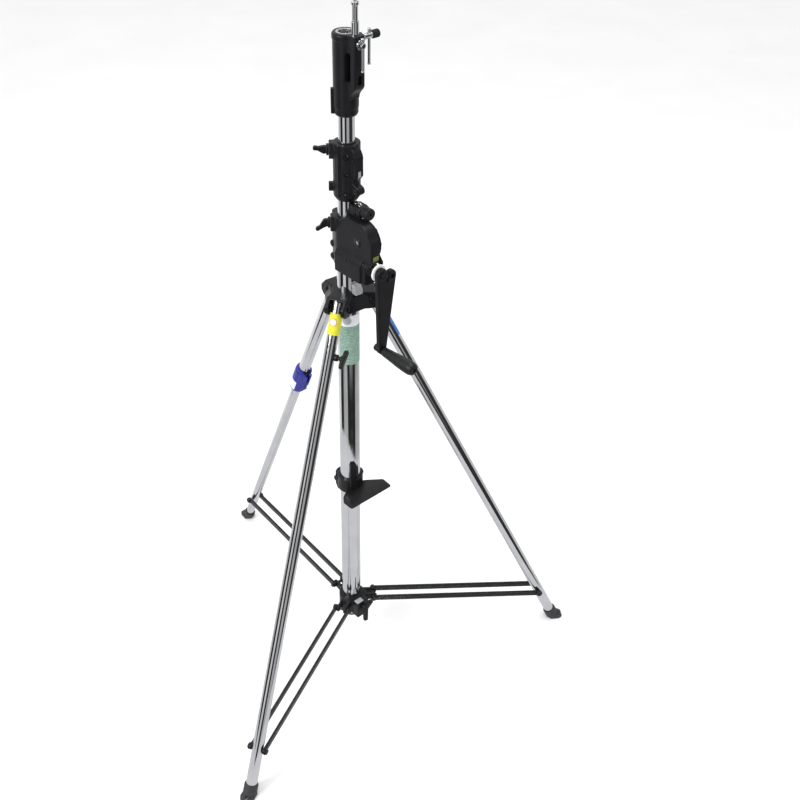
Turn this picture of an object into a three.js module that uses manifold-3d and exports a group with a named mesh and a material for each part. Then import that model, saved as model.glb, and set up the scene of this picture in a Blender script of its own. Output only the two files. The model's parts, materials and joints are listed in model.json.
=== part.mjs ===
// Crank lighting stand: a folding three-legged base, a column with a hand winch, two telescopic
// risers and a head with a 28 mm socket and a 16 mm spigot. Millimetres, +Z up. Leg B points along
// +X from the column, legs A and C stand 120 degrees either side. The origin is on the floor, in
// the middle of the ground the feet take up, so the column axis is a little to its -X side.
import * as THREE from 'three';
import { mergeVertices } from 'three/addons/utils/BufferGeometryUtils.js';
import Module from 'manifold-3d';

const wasm = await Module();
wasm.setup();

// ---- driving dimensions ------------------------------------------------------------------
const GAP = 0.3;                 // clearance between pieces that rest on or run in each other
const ROUND = 24;                // facets round a tube
const SMALL_ROUND = 12;          // facets round a pin or screw

const COLUMN_R = 25;
const RISER_1_R = 21;
const RISER_2_R = 17.5;
const TUBE_WALL = 2;
const COLUMN_BOTTOM = 92;
const COLUMN_TOP = 1244;
const RISER_1_BOTTOM = 130;
const RISER_1_TOP = 1438;
const RISER_2_BOTTOM = 146;
const RISER_2_TOP = 1560;

const FOOT_RADIUS = 585;         // floor radius of the leg axes
const TONGUE_REACH = 25;         // foot tongue, beyond the leg axis
const LEG_TILT = THREE.MathUtils.degToRad(25.64);   // leg angle from the vertical, legs open
const LEG_AZIMUTH = { a: -120, b: 0, c: 120 };
const LEG_R = 14;
const LEG_C_UPPER_R = 15;
const LEG_C_LOWER_R = 12.5;
const LEG_PIVOT_R = 52;
const LEVELLING_Z = 757;         // height of the levelling collar
const LEVER_HINGE_R = 23;        // levelling lever hinge, from the leg axis
const LEG_KNOB_Z = 1008;
const PIN_R = 4;

const STRUT_BOLT_R = 530;        // where the struts meet the legs
const STRUT_BOLT_Z = 115;
const STRUT_SIDE = 18;           // each strut runs this far beside its leg
const STRUT_HALF = 3.2;
const HUB_PIVOT_R = 60;
const HUB_PIVOT_Z = 143;
const HUB_KNOB_X = 50;           // in the drive frame
const HUB_KNOB_DROP = 7;

const CASTING_BOTTOM = 1088;
const CASTING_TOP = 1132;
const CASTING_ARM_WIDTH = 50;

const BRACKET_Z = 557;           // underside of the carrying plate
const BRACKET_TOP = 585;
const BRACKET_BOLT_X = -38;

// The winch, the clamp and the head are drawn in the drive frame: X runs out along the crank shaft.
const DRIVE_AZIMUTH = -54;
const GEARBOX_BOTTOM = 1190;
const GEARBOX_TOP = 1312;
const BARREL_R = 28.5;
const EAR_X = -31;               // clamping ears on the back of the barrel
const EAR_R = 13.5;
const EAR_SCREW_HEIGHTS = [1203, 1234];
const WHEEL_X = 66;              // cable drum shaft
const WHEEL_Z = 1281;
const CASE_R = 45;
const CASE_FRONT = -28.5;
const CASE_BACK = -4.3;
const COVER_THICK = 4;
const WHEEL_HALF = 4;
const SHAFT_R = 5;
const WORM_Y = -17;              // crank shaft axis
const WORM_Z = 1228;
const WORM_SHAFT_R = 6;
const TUNNEL_R = 20;
const TUNNEL_START = -2;
const TUNNEL_END = 83;
const BEARING_END = 96;
const CRANK_ARM_X = 123;
const CRANK_ARM_THICK = 12;
const CRANK_END = [3, -193];     // shaft to grip, in Y and Z
const CRANK_LOBE = [26, -10];    // shaft to the spare lobe
const ANCHOR_TOP = 1350;
const ANCHOR_START = 22.5;
const ANCHOR_END = 56;
const TENSION_Z = 1340;

const LEVER_AZIMUTH = 176;       // lock levers, seen from above
const LEVER_SEAT_R = 37;         // column axis to the seat of each lever
const GEARBOX_LEVER_Z = 1294;
const CLAMP_LEVER_Z = 1461;

const CLAMP_BOTTOM = 1352;
const CLAMP_TOP = 1479;
const CLAMP_R = 29;
const CLAMP_FACE_AZIMUTH = -42;  // flat face with the set screws, in the drive frame
const HUMP_HALF = 10.6;
const HUMP_END = 42;
const PULLEY_X = 31.2;
const PULLEY_Z = 1447;
const PULLEY_R = 8.3;

const HEAD_BOTTOM = 1537;
const HEAD_TOP = 1704;
const HEAD_R = 26;
const HEAD_RIB_AZIMUTH = -128;   // in the drive frame
const SOCKET_R = 14.3;           // 28 mm socket
const SOCKET_FLANGE_R = 19.5;
const SOCKET_SCREW_Z = 1683;
const SOCKET_SCREW_START = 40;
const SPIGOT_R = 8;              // 16 mm spigot
const SPIGOT_X = 29;
const SPIGOT_TOP = 1767;
const SPIGOT_ARM_END = 43;
const SPIGOT_ARM_HALF = 13.5;
const SPIGOT_SCREW_Z = 1688;

// ---- materials ---------------------------------------------------------------------------
const finish = (color, roughness, metalness) => () =>
  new THREE.MeshStandardMaterial({ color, roughness, metalness });
const chrome = finish(0xcfd0d4, 0.12, 1);
const castBlack = finish(0x26262a, 0.5, 0.2);
const blackPlastic = finish(0x1d1e20, 0.6, 0);
const bluePlastic = finish(0x24349c, 0.45, 0);
const whitePlastic = finish(0xeeeeea, 0.5, 0);
const paintedSteel = finish(0x303033, 0.45, 0.3);
const bareSteel = finish(0x9a9a9c, 0.35, 1);
const bronze = finish(0xa8824a, 0.4, 1);

// ---- shape helpers -----------------------------------------------------------------------
function solid(geometry) {
  const bare = geometry.index ? geometry.clone() : geometry;
  bare.deleteAttribute('normal');
  bare.deleteAttribute('uv');
  const merged = mergeVertices(bare, 1e-4);
  return new wasm.Manifold(new wasm.Mesh({
    numProp: 3,
    vertProperties: new Float32Array(merged.attributes.position.array),
    triVerts: new Uint32Array(merged.index.array),
  }));
}

function shapeOf(manifold) {
  const { numProp, vertProperties, triVerts } = manifold.getMesh();
  const geometry = new THREE.BufferGeometry();
  const positions = new Float32Array((vertProperties.length / numProp) * 3);
  for (let i = 0; i < positions.length / 3; i += 1) {
    positions.set(vertProperties.subarray(i * numProp, i * numProp + 3), i * 3);
  }
  geometry.setAttribute('position', new THREE.BufferAttribute(positions, 3));
  geometry.setIndex(new THREE.BufferAttribute(new Uint32Array(triVerts), 1));
  return geometry;
}

const join = (...pieces) => pieces.map(solid).reduce((sum, piece) => sum.add(piece));
const cut = (body, ...tools) => tools.map(solid).reduce((rest, tool) => rest.subtract(tool), body);

// Profile points are [radius, z]; the result stands on the Z axis.
function turned(profile, segments = ROUND) {
  const points = profile.map(([radius, z]) => new THREE.Vector2(radius, z));
  return new THREE.LatheGeometry(points, segments).rotateX(Math.PI / 2);
}

function rod(radius, from, to, segments = ROUND) {
  return new THREE.CylinderGeometry(radius, radius, to - from, segments)
    .rotateX(Math.PI / 2)
    .translate(0, 0, (from + to) / 2);
}

function ring(outer, inner, from, to, segments = ROUND) {
  return turned([[inner, from], [outer, from], [outer, to], [inner, to], [inner, from]], segments);
}

const tube = (outer, from, to) => ring(outer, outer - TUBE_WALL, from, to);

// The same rod, laid along X or along Y.
const rodX = (radius, from, to, segments = SMALL_ROUND) =>
  rod(radius, from, to, segments).rotateY(Math.PI / 2);
const rodY = (radius, from, to, segments = SMALL_ROUND) =>
  rod(radius, -to, -from, segments).rotateX(Math.PI / 2);

function block(x0, x1, y0, y1, z0, z1) {
  return new THREE.BoxGeometry(x1 - x0, y1 - y0, z1 - z0)
    .translate((x0 + x1) / 2, (y0 + y1) / 2, (z0 + z1) / 2);
}

// An outline drawn in X and Z, given a thickness from y0 to y1.
function slabXZ(outline, y0, y1, curveSegments = 6) {
  return new THREE.ExtrudeGeometry(outline, { depth: y1 - y0, bevelEnabled: false, curveSegments })
    .rotateX(Math.PI / 2)
    .translate(0, y1, 0);
}

// An outline drawn in X and Y, given a thickness from z0 to z1.
function slabXY(outline, z0, z1, curveSegments = 6) {
  return new THREE.ExtrudeGeometry(outline, { depth: z1 - z0, bevelEnabled: false, curveSegments })
    .translate(0, 0, z0);
}

// An outline drawn in Y and Z, given a thickness from x0 to x1.
function slabYZ(outline, x0, x1, curveSegments = 6) {
  return new THREE.ExtrudeGeometry(outline, { depth: x1 - x0, bevelEnabled: false, curveSegments })
    .rotateX(Math.PI / 2)
    .rotateZ(Math.PI / 2)
    .translate(x0, 0, 0);
}

const turn = THREE.MathUtils.degToRad;

const outlineOf = (points) => new THREE.Shape(points.map(([x, y]) => new THREE.Vector2(x, y)));

// Two round ends joined by straight tangents.
function linkOutline(x0, y0, r0, x1, y1, r1) {
  const along = Math.atan2(y1 - y0, x1 - x0);
  const spread = Math.acos((r0 - r1) / Math.hypot(x1 - x0, y1 - y0));
  const shape = new THREE.Shape();
  shape.absarc(x0, y0, r0, along + spread, along - spread + 2 * Math.PI, false);
  shape.absarc(x1, y1, r1, along - spread, along + spread, false);
  return shape;
}

function mesh(name, geometry, material) {
  const part = new THREE.Mesh(geometry, material());
  part.name = name;
  return part;
}

const built = (name, manifold, material) => mesh(name, shapeOf(manifold), material);

function turnedGroup(azimuth, ...children) {
  const group = new THREE.Group();
  group.rotation.z = turn(azimuth);
  group.add(...children);
  return group;
}

// ---- column ------------------------------------------------------------------------------
function columnParts() {
  const plugR = COLUMN_R - TUBE_WALL - GAP;
  const capProfile = [
    [0, COLUMN_BOTTOM - 8], [COLUMN_R - 3, COLUMN_BOTTOM - 8], [COLUMN_R, COLUMN_BOTTOM - 5],
    [COLUMN_R, COLUMN_BOTTOM - GAP], [plugR, COLUMN_BOTTOM - GAP], [plugR, COLUMN_BOTTOM + 16],
    [0, COLUMN_BOTTOM + 16],
  ];
  return [
    mesh('column_tube', tube(COLUMN_R, COLUMN_BOTTOM, COLUMN_TOP), chrome),
    mesh('column_end_cap', turned(capProfile), blackPlastic),
  ];
}

// A collar with two clamping ears, a stop block in front and a flat plate for the folded legs.
function bracketParts() {
  const boreR = COLUMN_R + GAP;
  const boltZ = BRACKET_Z - 4;
  const collar = join(
    ring(COLUMN_R + 7, boreR, BRACKET_Z - 12, BRACKET_TOP),
    slabXZ(earOutline(), -12, 12),
    slabXY(plateOutline(), BRACKET_Z, BRACKET_Z + 3),
    rodY(9, COLUMN_R, COLUMN_R + 13).translate(0, 0, BRACKET_Z + 17),
    block(COLUMN_R - 4, COLUMN_R + 10, -8.5, 8.5, BRACKET_Z - 12, BRACKET_TOP + 52).rotateZ(turn(-26)),
  );
  const bracket = cut(
    collar,
    rod(boreR, BRACKET_Z - 80, BRACKET_TOP + 80),
    block(-60, -10, -2.5, 2.5, BRACKET_Z - 60, BRACKET_TOP + 20),
    rodY(PIN_R + GAP, -20, 20).translate(BRACKET_BOLT_X, 0, boltZ),
  );
  const bolt = join(
    rodY(PIN_R, -19, 19),
    rodY(8, 12 + GAP, 19, 6),
    rodY(8, -19, -12 - GAP, 6),
  );
  const boltMesh = built('bracket_bolt', bolt, bareSteel);
  boltMesh.position.set(BRACKET_BOLT_X, 0, boltZ);
  return turnedGroup(DRIVE_AZIMUTH, built('carry_bracket', bracket, paintedSteel), boltMesh);
}

const earOutline = () => outlineOf([
  [-COLUMN_R - 1, BRACKET_TOP], [-38, BRACKET_TOP], [-46, BRACKET_TOP - 14], [-46, BRACKET_Z - 26],
  [-38, BRACKET_Z - 40], [-COLUMN_R - 1, BRACKET_Z - 40],
]);

function plateOutline() {
  const shape = new THREE.Shape();
  shape.moveTo(20, -28);
  shape.lineTo(36, -54);
  shape.lineTo(52, -66);
  shape.lineTo(74, -66);
  shape.absarc(75, -58, 8, -Math.PI / 2, 0, false);
  shape.lineTo(83, 58);
  shape.absarc(75, 58, 8, 0, Math.PI / 2, false);
  shape.lineTo(50, 68);
  shape.lineTo(20, 28);
  return shape;
}

// ---- legs --------------------------------------------------------------------------------
const legPivotZ = (FOOT_RADIUS - LEG_PIVOT_R) / Math.tan(LEG_TILT);
const legLength = (FOOT_RADIUS - LEG_PIVOT_R) / Math.sin(LEG_TILT);

// The casting that joins the legs to the column: three forked arms and a six-sided web.
function legCasting() {
  const armProfile = outlineOf([
    [27, CASTING_BOTTOM], [27, CASTING_TOP], [57, CASTING_TOP], [74, CASTING_TOP - 18],
    [74, CASTING_BOTTOM + 12], [64, CASTING_BOTTOM + 2], [44, CASTING_BOTTOM],
  ]);
  const half = CASTING_ARM_WIDTH / 2;
  const slotHalf = LEG_C_UPPER_R + 1;
  const slotStart = 32.5;
  const azimuths = Object.values(LEG_AZIMUTH).map(turn);
  const web = new THREE.CylinderGeometry(46, 60, 30, 6, 1)
    .rotateX(Math.PI / 2)
    .translate(0, 0, CASTING_TOP - 19);
  const peg = block(24, 36, -6, 6, CASTING_BOTTOM - 14, CASTING_BOTTOM + 6).rotateZ(turn(-100));
  let body = join(rod(36, CASTING_BOTTOM, CASTING_TOP), web, peg);
  for (const azimuth of azimuths) {
    body = body.add(solid(slabXZ(armProfile, -half, half).rotateZ(azimuth)));
  }
  for (const azimuth of azimuths) {
    body = cut(
      body,
      block(slotStart, 90, -slotHalf, slotHalf, CASTING_BOTTOM - 10, CASTING_TOP - 4).rotateZ(azimuth),
      block(60, 90, -slotHalf, slotHalf, CASTING_TOP - 30, CASTING_TOP + 5).rotateZ(azimuth),
      rodY(PIN_R + GAP, -40, 40).translate(LEG_PIVOT_R, 0, legPivotZ).rotateZ(azimuth),
      rodY(7, half, half + 10, SMALL_ROUND).translate(LEG_PIVOT_R, 0, legPivotZ).rotateZ(azimuth),
      rodY(7, -half - 10, -half, SMALL_ROUND).translate(LEG_PIVOT_R, 0, legPivotZ).rotateZ(azimuth),
    );
  }
  return cut(body, rod(COLUMN_R + GAP, CASTING_BOTTOM - 20, CASTING_TOP + 20));
}

function legPin(name) {
  const half = CASTING_ARM_WIDTH / 2;
  const pin = join(
    rodY(PIN_R, -half - 3, half + 3),
    rodY(6, half + GAP, half + 3.5),
    rodY(6, -half - 3.5, -half - GAP),
  );
  const part = built(name, pin, bareSteel);
  part.position.set(LEG_PIVOT_R, 0, legPivotZ);
  return part;
}

// A leg hangs from its pivot; its own Z axis runs down the leg.
function legFrame(...children) {
  const group = new THREE.Group();
  group.position.set(LEG_PIVOT_R, 0, legPivotZ);
  group.rotation.y = Math.PI - LEG_TILT;
  group.add(...children);
  return group;
}

function legTube(name, radius, from, to, withPivotHole) {
  const wall = withPivotHole ? [rodY(PIN_R + GAP, -30, 30)] : [];
  return built(name, cut(solid(tube(radius, from, to)), ...wall), chrome);
}

// A moulded shoe round the tube end, cut flat on the floor, with a broad drilled tongue pointing out.
function foot(name, azimuth, tubeRadius) {
  const upTheLeg = (length) => [
    FOOT_RADIUS - length * Math.sin(LEG_TILT), 0, length * Math.cos(LEG_TILT),
  ];
  const sleeve = rod(tubeRadius + 3.5, 0, 50, 20).rotateY(Math.PI - LEG_TILT).translate(...upTheLeg(32));
  const socket = rod(tubeRadius + GAP, 0, 62, 20).rotateY(-LEG_TILT).translate(...upTheLeg(12));
  const tongue = outlineOf([
    [FOOT_RADIUS - 12, -18], [FOOT_RADIUS + 14, -18], [FOOT_RADIUS + TONGUE_REACH, -12],
    [FOOT_RADIUS + TONGUE_REACH, 12], [FOOT_RADIUS + 14, 18], [FOOT_RADIUS - 12, 18],
  ]);
  const hole = rod(4, -5, 15, SMALL_ROUND).translate(FOOT_RADIUS + 16, 0, 0);
  const underground = block(FOOT_RADIUS - 80, FOOT_RADIUS + 80, -40, 40, -60, 0);
  const body = cut(join(sleeve, slabXY(tongue, 0, 6)), underground, socket, hole);
  return turnedGroup(azimuth, built(name, body, blackPlastic));
}

// Collar of the levelling leg, its clamping lever and the knob on leg A.
function levellingCollar(along) {
  const upper = join(
    ring(20, LEG_C_UPPER_R + GAP, -42, 18),
    block(10, 27, -9, 9, -38, 8),
  );
  const lower = ring(20, LEG_C_LOWER_R + 1, 18 - GAP, 44);
  const bore = rod(LEG_C_UPPER_R + GAP, -60, 18);
  const hingeHole = rodY(3 + GAP, -15, 15).translate(LEVER_HINGE_R, 0, -8);
  const slot = block(16, 30, -4, 4, -45, 12);
  const collar = cut(upper.add(solid(lower)), bore, hingeHole, slot);
  const part = built('levelling_collar', collar, bluePlastic);
  part.position.z = along;
  return part;
}

function levellingLever(along) {
  const lever = join(
    slabXZ(linkOutline(0, 0, 6, 7, 36, 3), -3.6, 3.6),
    rodY(3, -10, 10),
  );
  const part = built('levelling_lever', lever, bluePlastic);
  part.position.set(LEVER_HINGE_R, 0, along - 8);
  return part;
}

function legKnob(along) {
  const knob = join(
    rodY(8, 0, 8),
    rodY(4.5, 6, 20),
    slabXZ(linkOutline(0, -15, 8, 0, 15, 8), 17.5, 26.5).rotateY(turn(-30)),
  );
  const part = built('leg_knob', knob, blackPlastic);
  part.position.set(0, LEG_R + GAP, along);
  return part;
}

function legParts() {
  const root = new THREE.Group();
  const collarAlong = (legPivotZ - LEVELLING_Z) / Math.cos(LEG_TILT);
  const knobAlong = (legPivotZ - LEG_KNOB_Z) / Math.cos(LEG_TILT);
  const top = -10;
  const bottom = legLength - 14;
  const legs = {
    a: [legTube('leg_tube_a', LEG_R, top, bottom, true), legKnob(knobAlong)],
    b: [legTube('leg_tube_b', LEG_R, top, bottom, true)],
    c: [
      legTube('leg_c_upper', LEG_C_UPPER_R, top, collarAlong + 16, true),
      legTube('leg_c_lower', LEG_C_LOWER_R, collarAlong - 300, bottom, false),
      levellingCollar(collarAlong),
      levellingLever(collarAlong),
    ],
  };
  for (const [letter, azimuth] of Object.entries(LEG_AZIMUTH)) {
    root.add(turnedGroup(azimuth, legPin(`leg_pin_${letter}`), legFrame(...legs[letter])));
    root.add(foot(`foot_${letter}`, azimuth, letter === 'c' ? LEG_C_LOWER_R : LEG_R));
  }
  root.add(built('leg_casting', legCasting(), castBlack));
  return root;
}

// ---- sliding hub and struts --------------------------------------------------------------
function hubCollar() {
  const lugHalf = STRUT_SIDE - 4;
  const pinHalf = STRUT_SIDE + 8;
  const lugOutline = linkOutline(20, HUB_PIVOT_Z, 13, HUB_PIVOT_R, HUB_PIVOT_Z, 10);
  let body = solid(rod(34, HUB_PIVOT_Z - 38, HUB_PIVOT_Z + 16));
  for (const azimuth of Object.values(LEG_AZIMUTH).map(turn)) {
    const lug = slabXZ(lugOutline, -lugHalf, lugHalf);
    const trunnion = rodY(PIN_R, -pinHalf, pinHalf).translate(HUB_PIVOT_R, 0, HUB_PIVOT_Z);
    body = body.add(solid(lug.rotateZ(azimuth))).add(solid(trunnion.rotateZ(azimuth)));
  }
  const drive = turn(DRIVE_AZIMUTH);
  const knobBlock = block(20, HUB_KNOB_X, -20, 20, HUB_PIVOT_Z - 42, HUB_PIVOT_Z + 12);
  const knobHole = rodX(5 + GAP, 20, 60).translate(0, 0, HUB_PIVOT_Z - HUB_KNOB_DROP);
  body = body.add(solid(knobBlock.rotateZ(drive)));
  return cut(body, rod(COLUMN_R + GAP, HUB_PIVOT_Z - 60, HUB_PIVOT_Z + 40), knobHole.rotateZ(drive));
}

function hubKnob() {
  const knob = join(
    rodX(5, -20, 4),
    rodX(9, 0, 12),
    slabXZ(linkOutline(8.2, 0, 8, 19, 29, 6), -4.5, 4.5),
    slabXZ(linkOutline(8.2, 0, 8, 19, -29, 6), -4.5, 4.5),
  );
  const part = built('hub_knob', knob, blackPlastic);
  part.rotation.x = turn(-18);
  part.position.set(HUB_KNOB_X + GAP, 0, HUB_PIVOT_Z - HUB_KNOB_DROP);
  return turnedGroup(DRIVE_AZIMUTH, part);
}

// A flattened bar with a drilled round end at the hub and a bolt head at the leg end. Side is 1 for
// the bar left of the leg and -1 for the bar right of it.
function strut(name, side) {
  const run = STRUT_BOLT_R - HUB_PIVOT_R;
  const drop = STRUT_BOLT_Z - HUB_PIVOT_Z;
  const length = Math.hypot(run, drop);
  const centre = side * STRUT_SIDE;
  const legFace = LEG_R + 0.6;
  const [clearFrom, clearTo] = [0, side * legFace].sort((low, high) => low - high);
  const bar = join(
    slabXZ(linkOutline(0, 0, 8, length, 0, 8), centre - STRUT_HALF, centre + STRUT_HALF),
    rodY(8, centre + side * 3 - 4.6, centre + side * 3 + 4.6, 6).translate(length, 0, 0),
  );
  const clearOfLeg = block(length - 40, length + 40, clearFrom, clearTo, -30, 30);
  const pivotHole = rodY(PIN_R + 0.4, -60, 60);
  const part = built(name, cut(bar, pivotHole, clearOfLeg), paintedSteel);
  part.position.set(HUB_PIVOT_R, 0, HUB_PIVOT_Z);
  part.rotation.y = Math.atan2(-drop, run);
  return part;
}

function hubParts() {
  const root = new THREE.Group();
  root.add(built('hub_collar', hubCollar(), castBlack), hubKnob());
  for (const [letter, azimuth] of Object.entries(LEG_AZIMUTH)) {
    root.add(turnedGroup(azimuth, strut(`strut_${letter}_left`, 1), strut(`strut_${letter}_right`, -1)));
  }
  return root;
}

// ---- winch -------------------------------------------------------------------------------
function caseOutline() {
  const top = WHEEL_Z + CASE_R;
  const shape = new THREE.Shape();
  shape.moveTo(0, GEARBOX_BOTTOM);
  shape.lineTo(BEARING_END, GEARBOX_BOTTOM);
  shape.lineTo(BEARING_END, WORM_Z);
  shape.lineTo(WHEEL_X + CASE_R, WHEEL_Z - 34);
  shape.absarc(WHEEL_X, WHEEL_Z, CASE_R, 0, Math.PI / 2, false);
  shape.lineTo(27, top);
  shape.lineTo(6, GEARBOX_TOP);
  shape.lineTo(0, GEARBOX_TOP);
  return shape;
}

// Worm tunnel: flat below, half round above.
function tunnel(radius, x0, x1) {
  const shape = new THREE.Shape();
  shape.moveTo(WORM_Y - radius, GEARBOX_BOTTOM);
  shape.lineTo(WORM_Y + radius, GEARBOX_BOTTOM);
  shape.absarc(WORM_Y, WORM_Z, radius, 0, Math.PI, false);
  return slabYZ(shape, x0, x1, 10);
}

// Barrel with clamping ears behind, flat wheel case in front and the worm tunnel across its foot.
function gearboxBody() {
  const shoulder = COLUMN_TOP + GAP;
  const earScrews = EAR_SCREW_HEIGHTS.map((z) => rodY(8.5, -17, 17, 16).translate(EAR_X - 2, 0, z));
  const body = join(
    slabXY(linkOutline(0, 0, BARREL_R, EAR_X, 0, EAR_R), GEARBOX_BOTTOM, GEARBOX_TOP, 16),
    slabXZ(caseOutline(), CASE_FRONT, CASE_BACK, 10),
    tunnel(TUNNEL_R, TUNNEL_START, TUNNEL_END),
    tunnel(TUNNEL_R - 4, TUNNEL_END - 3, BEARING_END),
    rodY(9, CASE_FRONT - 2, CASE_FRONT + 1).translate(WHEEL_X, 0, WHEEL_Z),
    leverBoss(GEARBOX_LEVER_Z),
    ...earScrews,
  );
  return cut(
    body,
    rod(COLUMN_R + GAP, GEARBOX_BOTTOM - 10, shoulder),
    rod(COLUMN_R - TUBE_WALL, shoulder - 5, GEARBOX_TOP + 40),
    rodY(CASE_R - 3, WORM_Y - WHEEL_HALF - 1, CASE_BACK + 20, 28).translate(WHEEL_X, 0, WHEEL_Z),
    rodX(14, 40, 110, 28).translate(0, WORM_Y, WORM_Z),
    rodX(WORM_SHAFT_R + 0.4, 30, 60).translate(0, WORM_Y, WORM_Z),
    rodX(16.5, BEARING_END, 112, 24).translate(0, WORM_Y, WORM_Z),
    rodY(SHAFT_R + GAP, CASE_FRONT - 10, CASE_FRONT + 10).translate(WHEEL_X, 0, WHEEL_Z),
    block(-60, -20, -1.5, 1.5, GEARBOX_BOTTOM - 10, GEARBOX_TOP + 40),
    leverHole(GEARBOX_LEVER_Z),
    block(BARREL_R, 120, CASE_BACK, 10, WHEEL_Z - CASE_R - GAP, WHEEL_Z + CASE_R + 10),
  );
}

function gearboxCover() {
  const disc = new THREE.Shape();
  disc.absarc(WHEEL_X, WHEEL_Z, CASE_R, 0, 2 * Math.PI, false);
  const lug = linkOutline(WHEEL_X, WHEEL_Z, 20, WHEEL_X + 44, WHEEL_Z - 37, 7);
  const y0 = CASE_BACK + GAP;
  const y1 = y0 + COVER_THICK;
  const body = join(slabXZ(disc, y0, y1, 12), slabXZ(lug, y0, y1));
  const shaftHole = rodY(SHAFT_R + GAP, y0 - 10, y1 + 10).translate(WHEEL_X, 0, WHEEL_Z);
  return cut(body, shaftHole, rod(BARREL_R + 1, 1200, 1400));
}

function wormShaft() {
  const pitch = 9;
  const threads = 3;
  const start = 54;
  const profile = [[0, 46], [WORM_SHAFT_R, 46], [WORM_SHAFT_R, start]];
  for (let thread = 0; thread < threads; thread += 1) {
    const x = start + thread * pitch;
    profile.push([8.5, x], [12, x + 2], [12, x + 3.5], [8.5, x + 5.5]);
  }
  const end = CRANK_ARM_X + CRANK_ARM_THICK + 4;
  profile.push([WORM_SHAFT_R, TUNNEL_END], [WORM_SHAFT_R, end], [0, end]);
  return turned(profile, 16).rotateY(Math.PI / 2);
}

function gearOutline(teeth, root, tip) {
  const shape = new THREE.Shape();
  const step = (2 * Math.PI) / teeth;
  for (let tooth = 0; tooth < teeth; tooth += 1) {
    for (const [share, radius] of [[0, root], [0.25, tip], [0.5, tip], [0.75, root]]) {
      const angle = (tooth + share) * step;
      const point = [radius * Math.cos(angle), radius * Math.sin(angle)];
      if (tooth === 0 && share === 0) shape.moveTo(...point);
      else shape.lineTo(...point);
    }
  }
  return shape;
}

// Everything that turns on the drum shaft stands at the wheel centre, axis along Y.
function drumParts() {
  const bore = rodY(SHAFT_R + GAP, -30, 10);
  const wheel = slabXZ(gearOutline(24, 36, 39), WORM_Y - WHEEL_HALF, WORM_Y + WHEEL_HALF);
  const drumStart = WORM_Y + WHEEL_HALF + GAP;
  const drumEnd = CASE_BACK - GAP;
  const drum = join(
    rodY(20, drumStart, drumEnd, 16),
    rodY(27, drumStart, drumStart + 1.5, 16),
    rodY(27, drumEnd - 1.5, drumEnd, 16),
  );
  const coverFace = CASE_BACK + GAP + COVER_THICK;
  const shaft = join(
    rodY(SHAFT_R, CASE_FRONT - 1, coverFace + 1),
    rodY(7.5, coverFace + GAP, coverFace + 2.7),
  );
  const parts = [
    built('worm_wheel', cut(solid(wheel), bore), bronze),
    built('cable_drum', cut(drum, bore), bareSteel),
    built('drum_shaft', shaft, bareSteel),
  ];
  for (const part of parts) part.position.set(WHEEL_X, 0, WHEEL_Z);
  return parts;
}

function bearingCap() {
  const bore = WORM_SHAFT_R + 0.4;
  const seat = BEARING_END + GAP;
  const profile = [
    [bore, 84], [13.6, 84], [13.6, seat], [15.5, seat], [15.5, 100], [10, 104], [bore, 104], [bore, 84],
  ];
  return turned(profile, 16).rotateY(Math.PI / 2);
}

// Tapered arm with two lobes at the shaft end; only the first lobe sits on the shaft.
function crankArm() {
  const x0 = CRANK_ARM_X;
  const x1 = CRANK_ARM_X + CRANK_ARM_THICK;
  const body = join(
    slabYZ(linkOutline(0, 0, 14, ...CRANK_END, 10), x0, x1),
    slabYZ(linkOutline(...CRANK_LOBE, 13, ...CRANK_END, 10), x0, x1),
    slabYZ(outlineOf([[0, 0], CRANK_LOBE, CRANK_END]), x0, x1),
    rodX(11, x1 - 1, x1 + 2, 24),
    rodX(10, x1 - 1, x1 + 2, 24).translate(0, ...CRANK_LOBE),
  );
  return cut(
    body,
    slabYZ(linkOutline(13.5, 10, 1.6, 13, -20, 2.4), x0 - 5, x1 + 5),
    rodX(WORM_SHAFT_R + GAP, x0 - 5, x1 + 8),
    rodX(4.2, x1 - 4, x1 + 8).translate(0, ...CRANK_LOBE),
    rodX(PIN_R + GAP, x0 - 5, x1 + 8).translate(0, ...CRANK_END),
  );
}

function crankParts() {
  const armFace = CRANK_ARM_X + CRANK_ARM_THICK;
  const seat = CRANK_ARM_X - GAP;
  const washer = ring(19, WORM_SHAFT_R + GAP, CRANK_ARM_X - 4, seat, 28).rotateY(Math.PI / 2);
  const pin = join(rodX(PIN_R, CRANK_ARM_X - 10, armFace + 98), rodX(9, CRANK_ARM_X - 12, seat, 16));
  const gripBore = PIN_R + 0.4;
  const x0 = armFace + 2;
  const gripProfile = [
    [gripBore, x0], [9, x0], [10.5, x0 + 2], [12.5, x0 + 30], [15.5, x0 + 70], [15.5, x0 + 88],
    [13, x0 + 96], [9, x0 + 99], [gripBore, x0 + 99], [gripBore, x0],
  ];
  const grip = turned(gripProfile, 20).rotateY(Math.PI / 2);
  const onShaft = [
    mesh('worm_shaft', wormShaft(), bareSteel),
    mesh('crank_washer', washer, whitePlastic),
    built('crank_arm', crankArm(), castBlack),
    mesh('crank_screw', rodX(9, armFace + 4.5, armFace + 7, 16), bareSteel),
  ];
  const onGrip = [built('crank_pin', pin, bareSteel), mesh('crank_grip', grip, blackPlastic)];
  const [endY, endZ] = CRANK_END;
  for (const part of onShaft) part.position.set(0, WORM_Y, WORM_Z);
  for (const part of onGrip) part.position.set(0, WORM_Y + endY, WORM_Z + endZ);
  return [...onShaft, ...onGrip];
}

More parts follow.
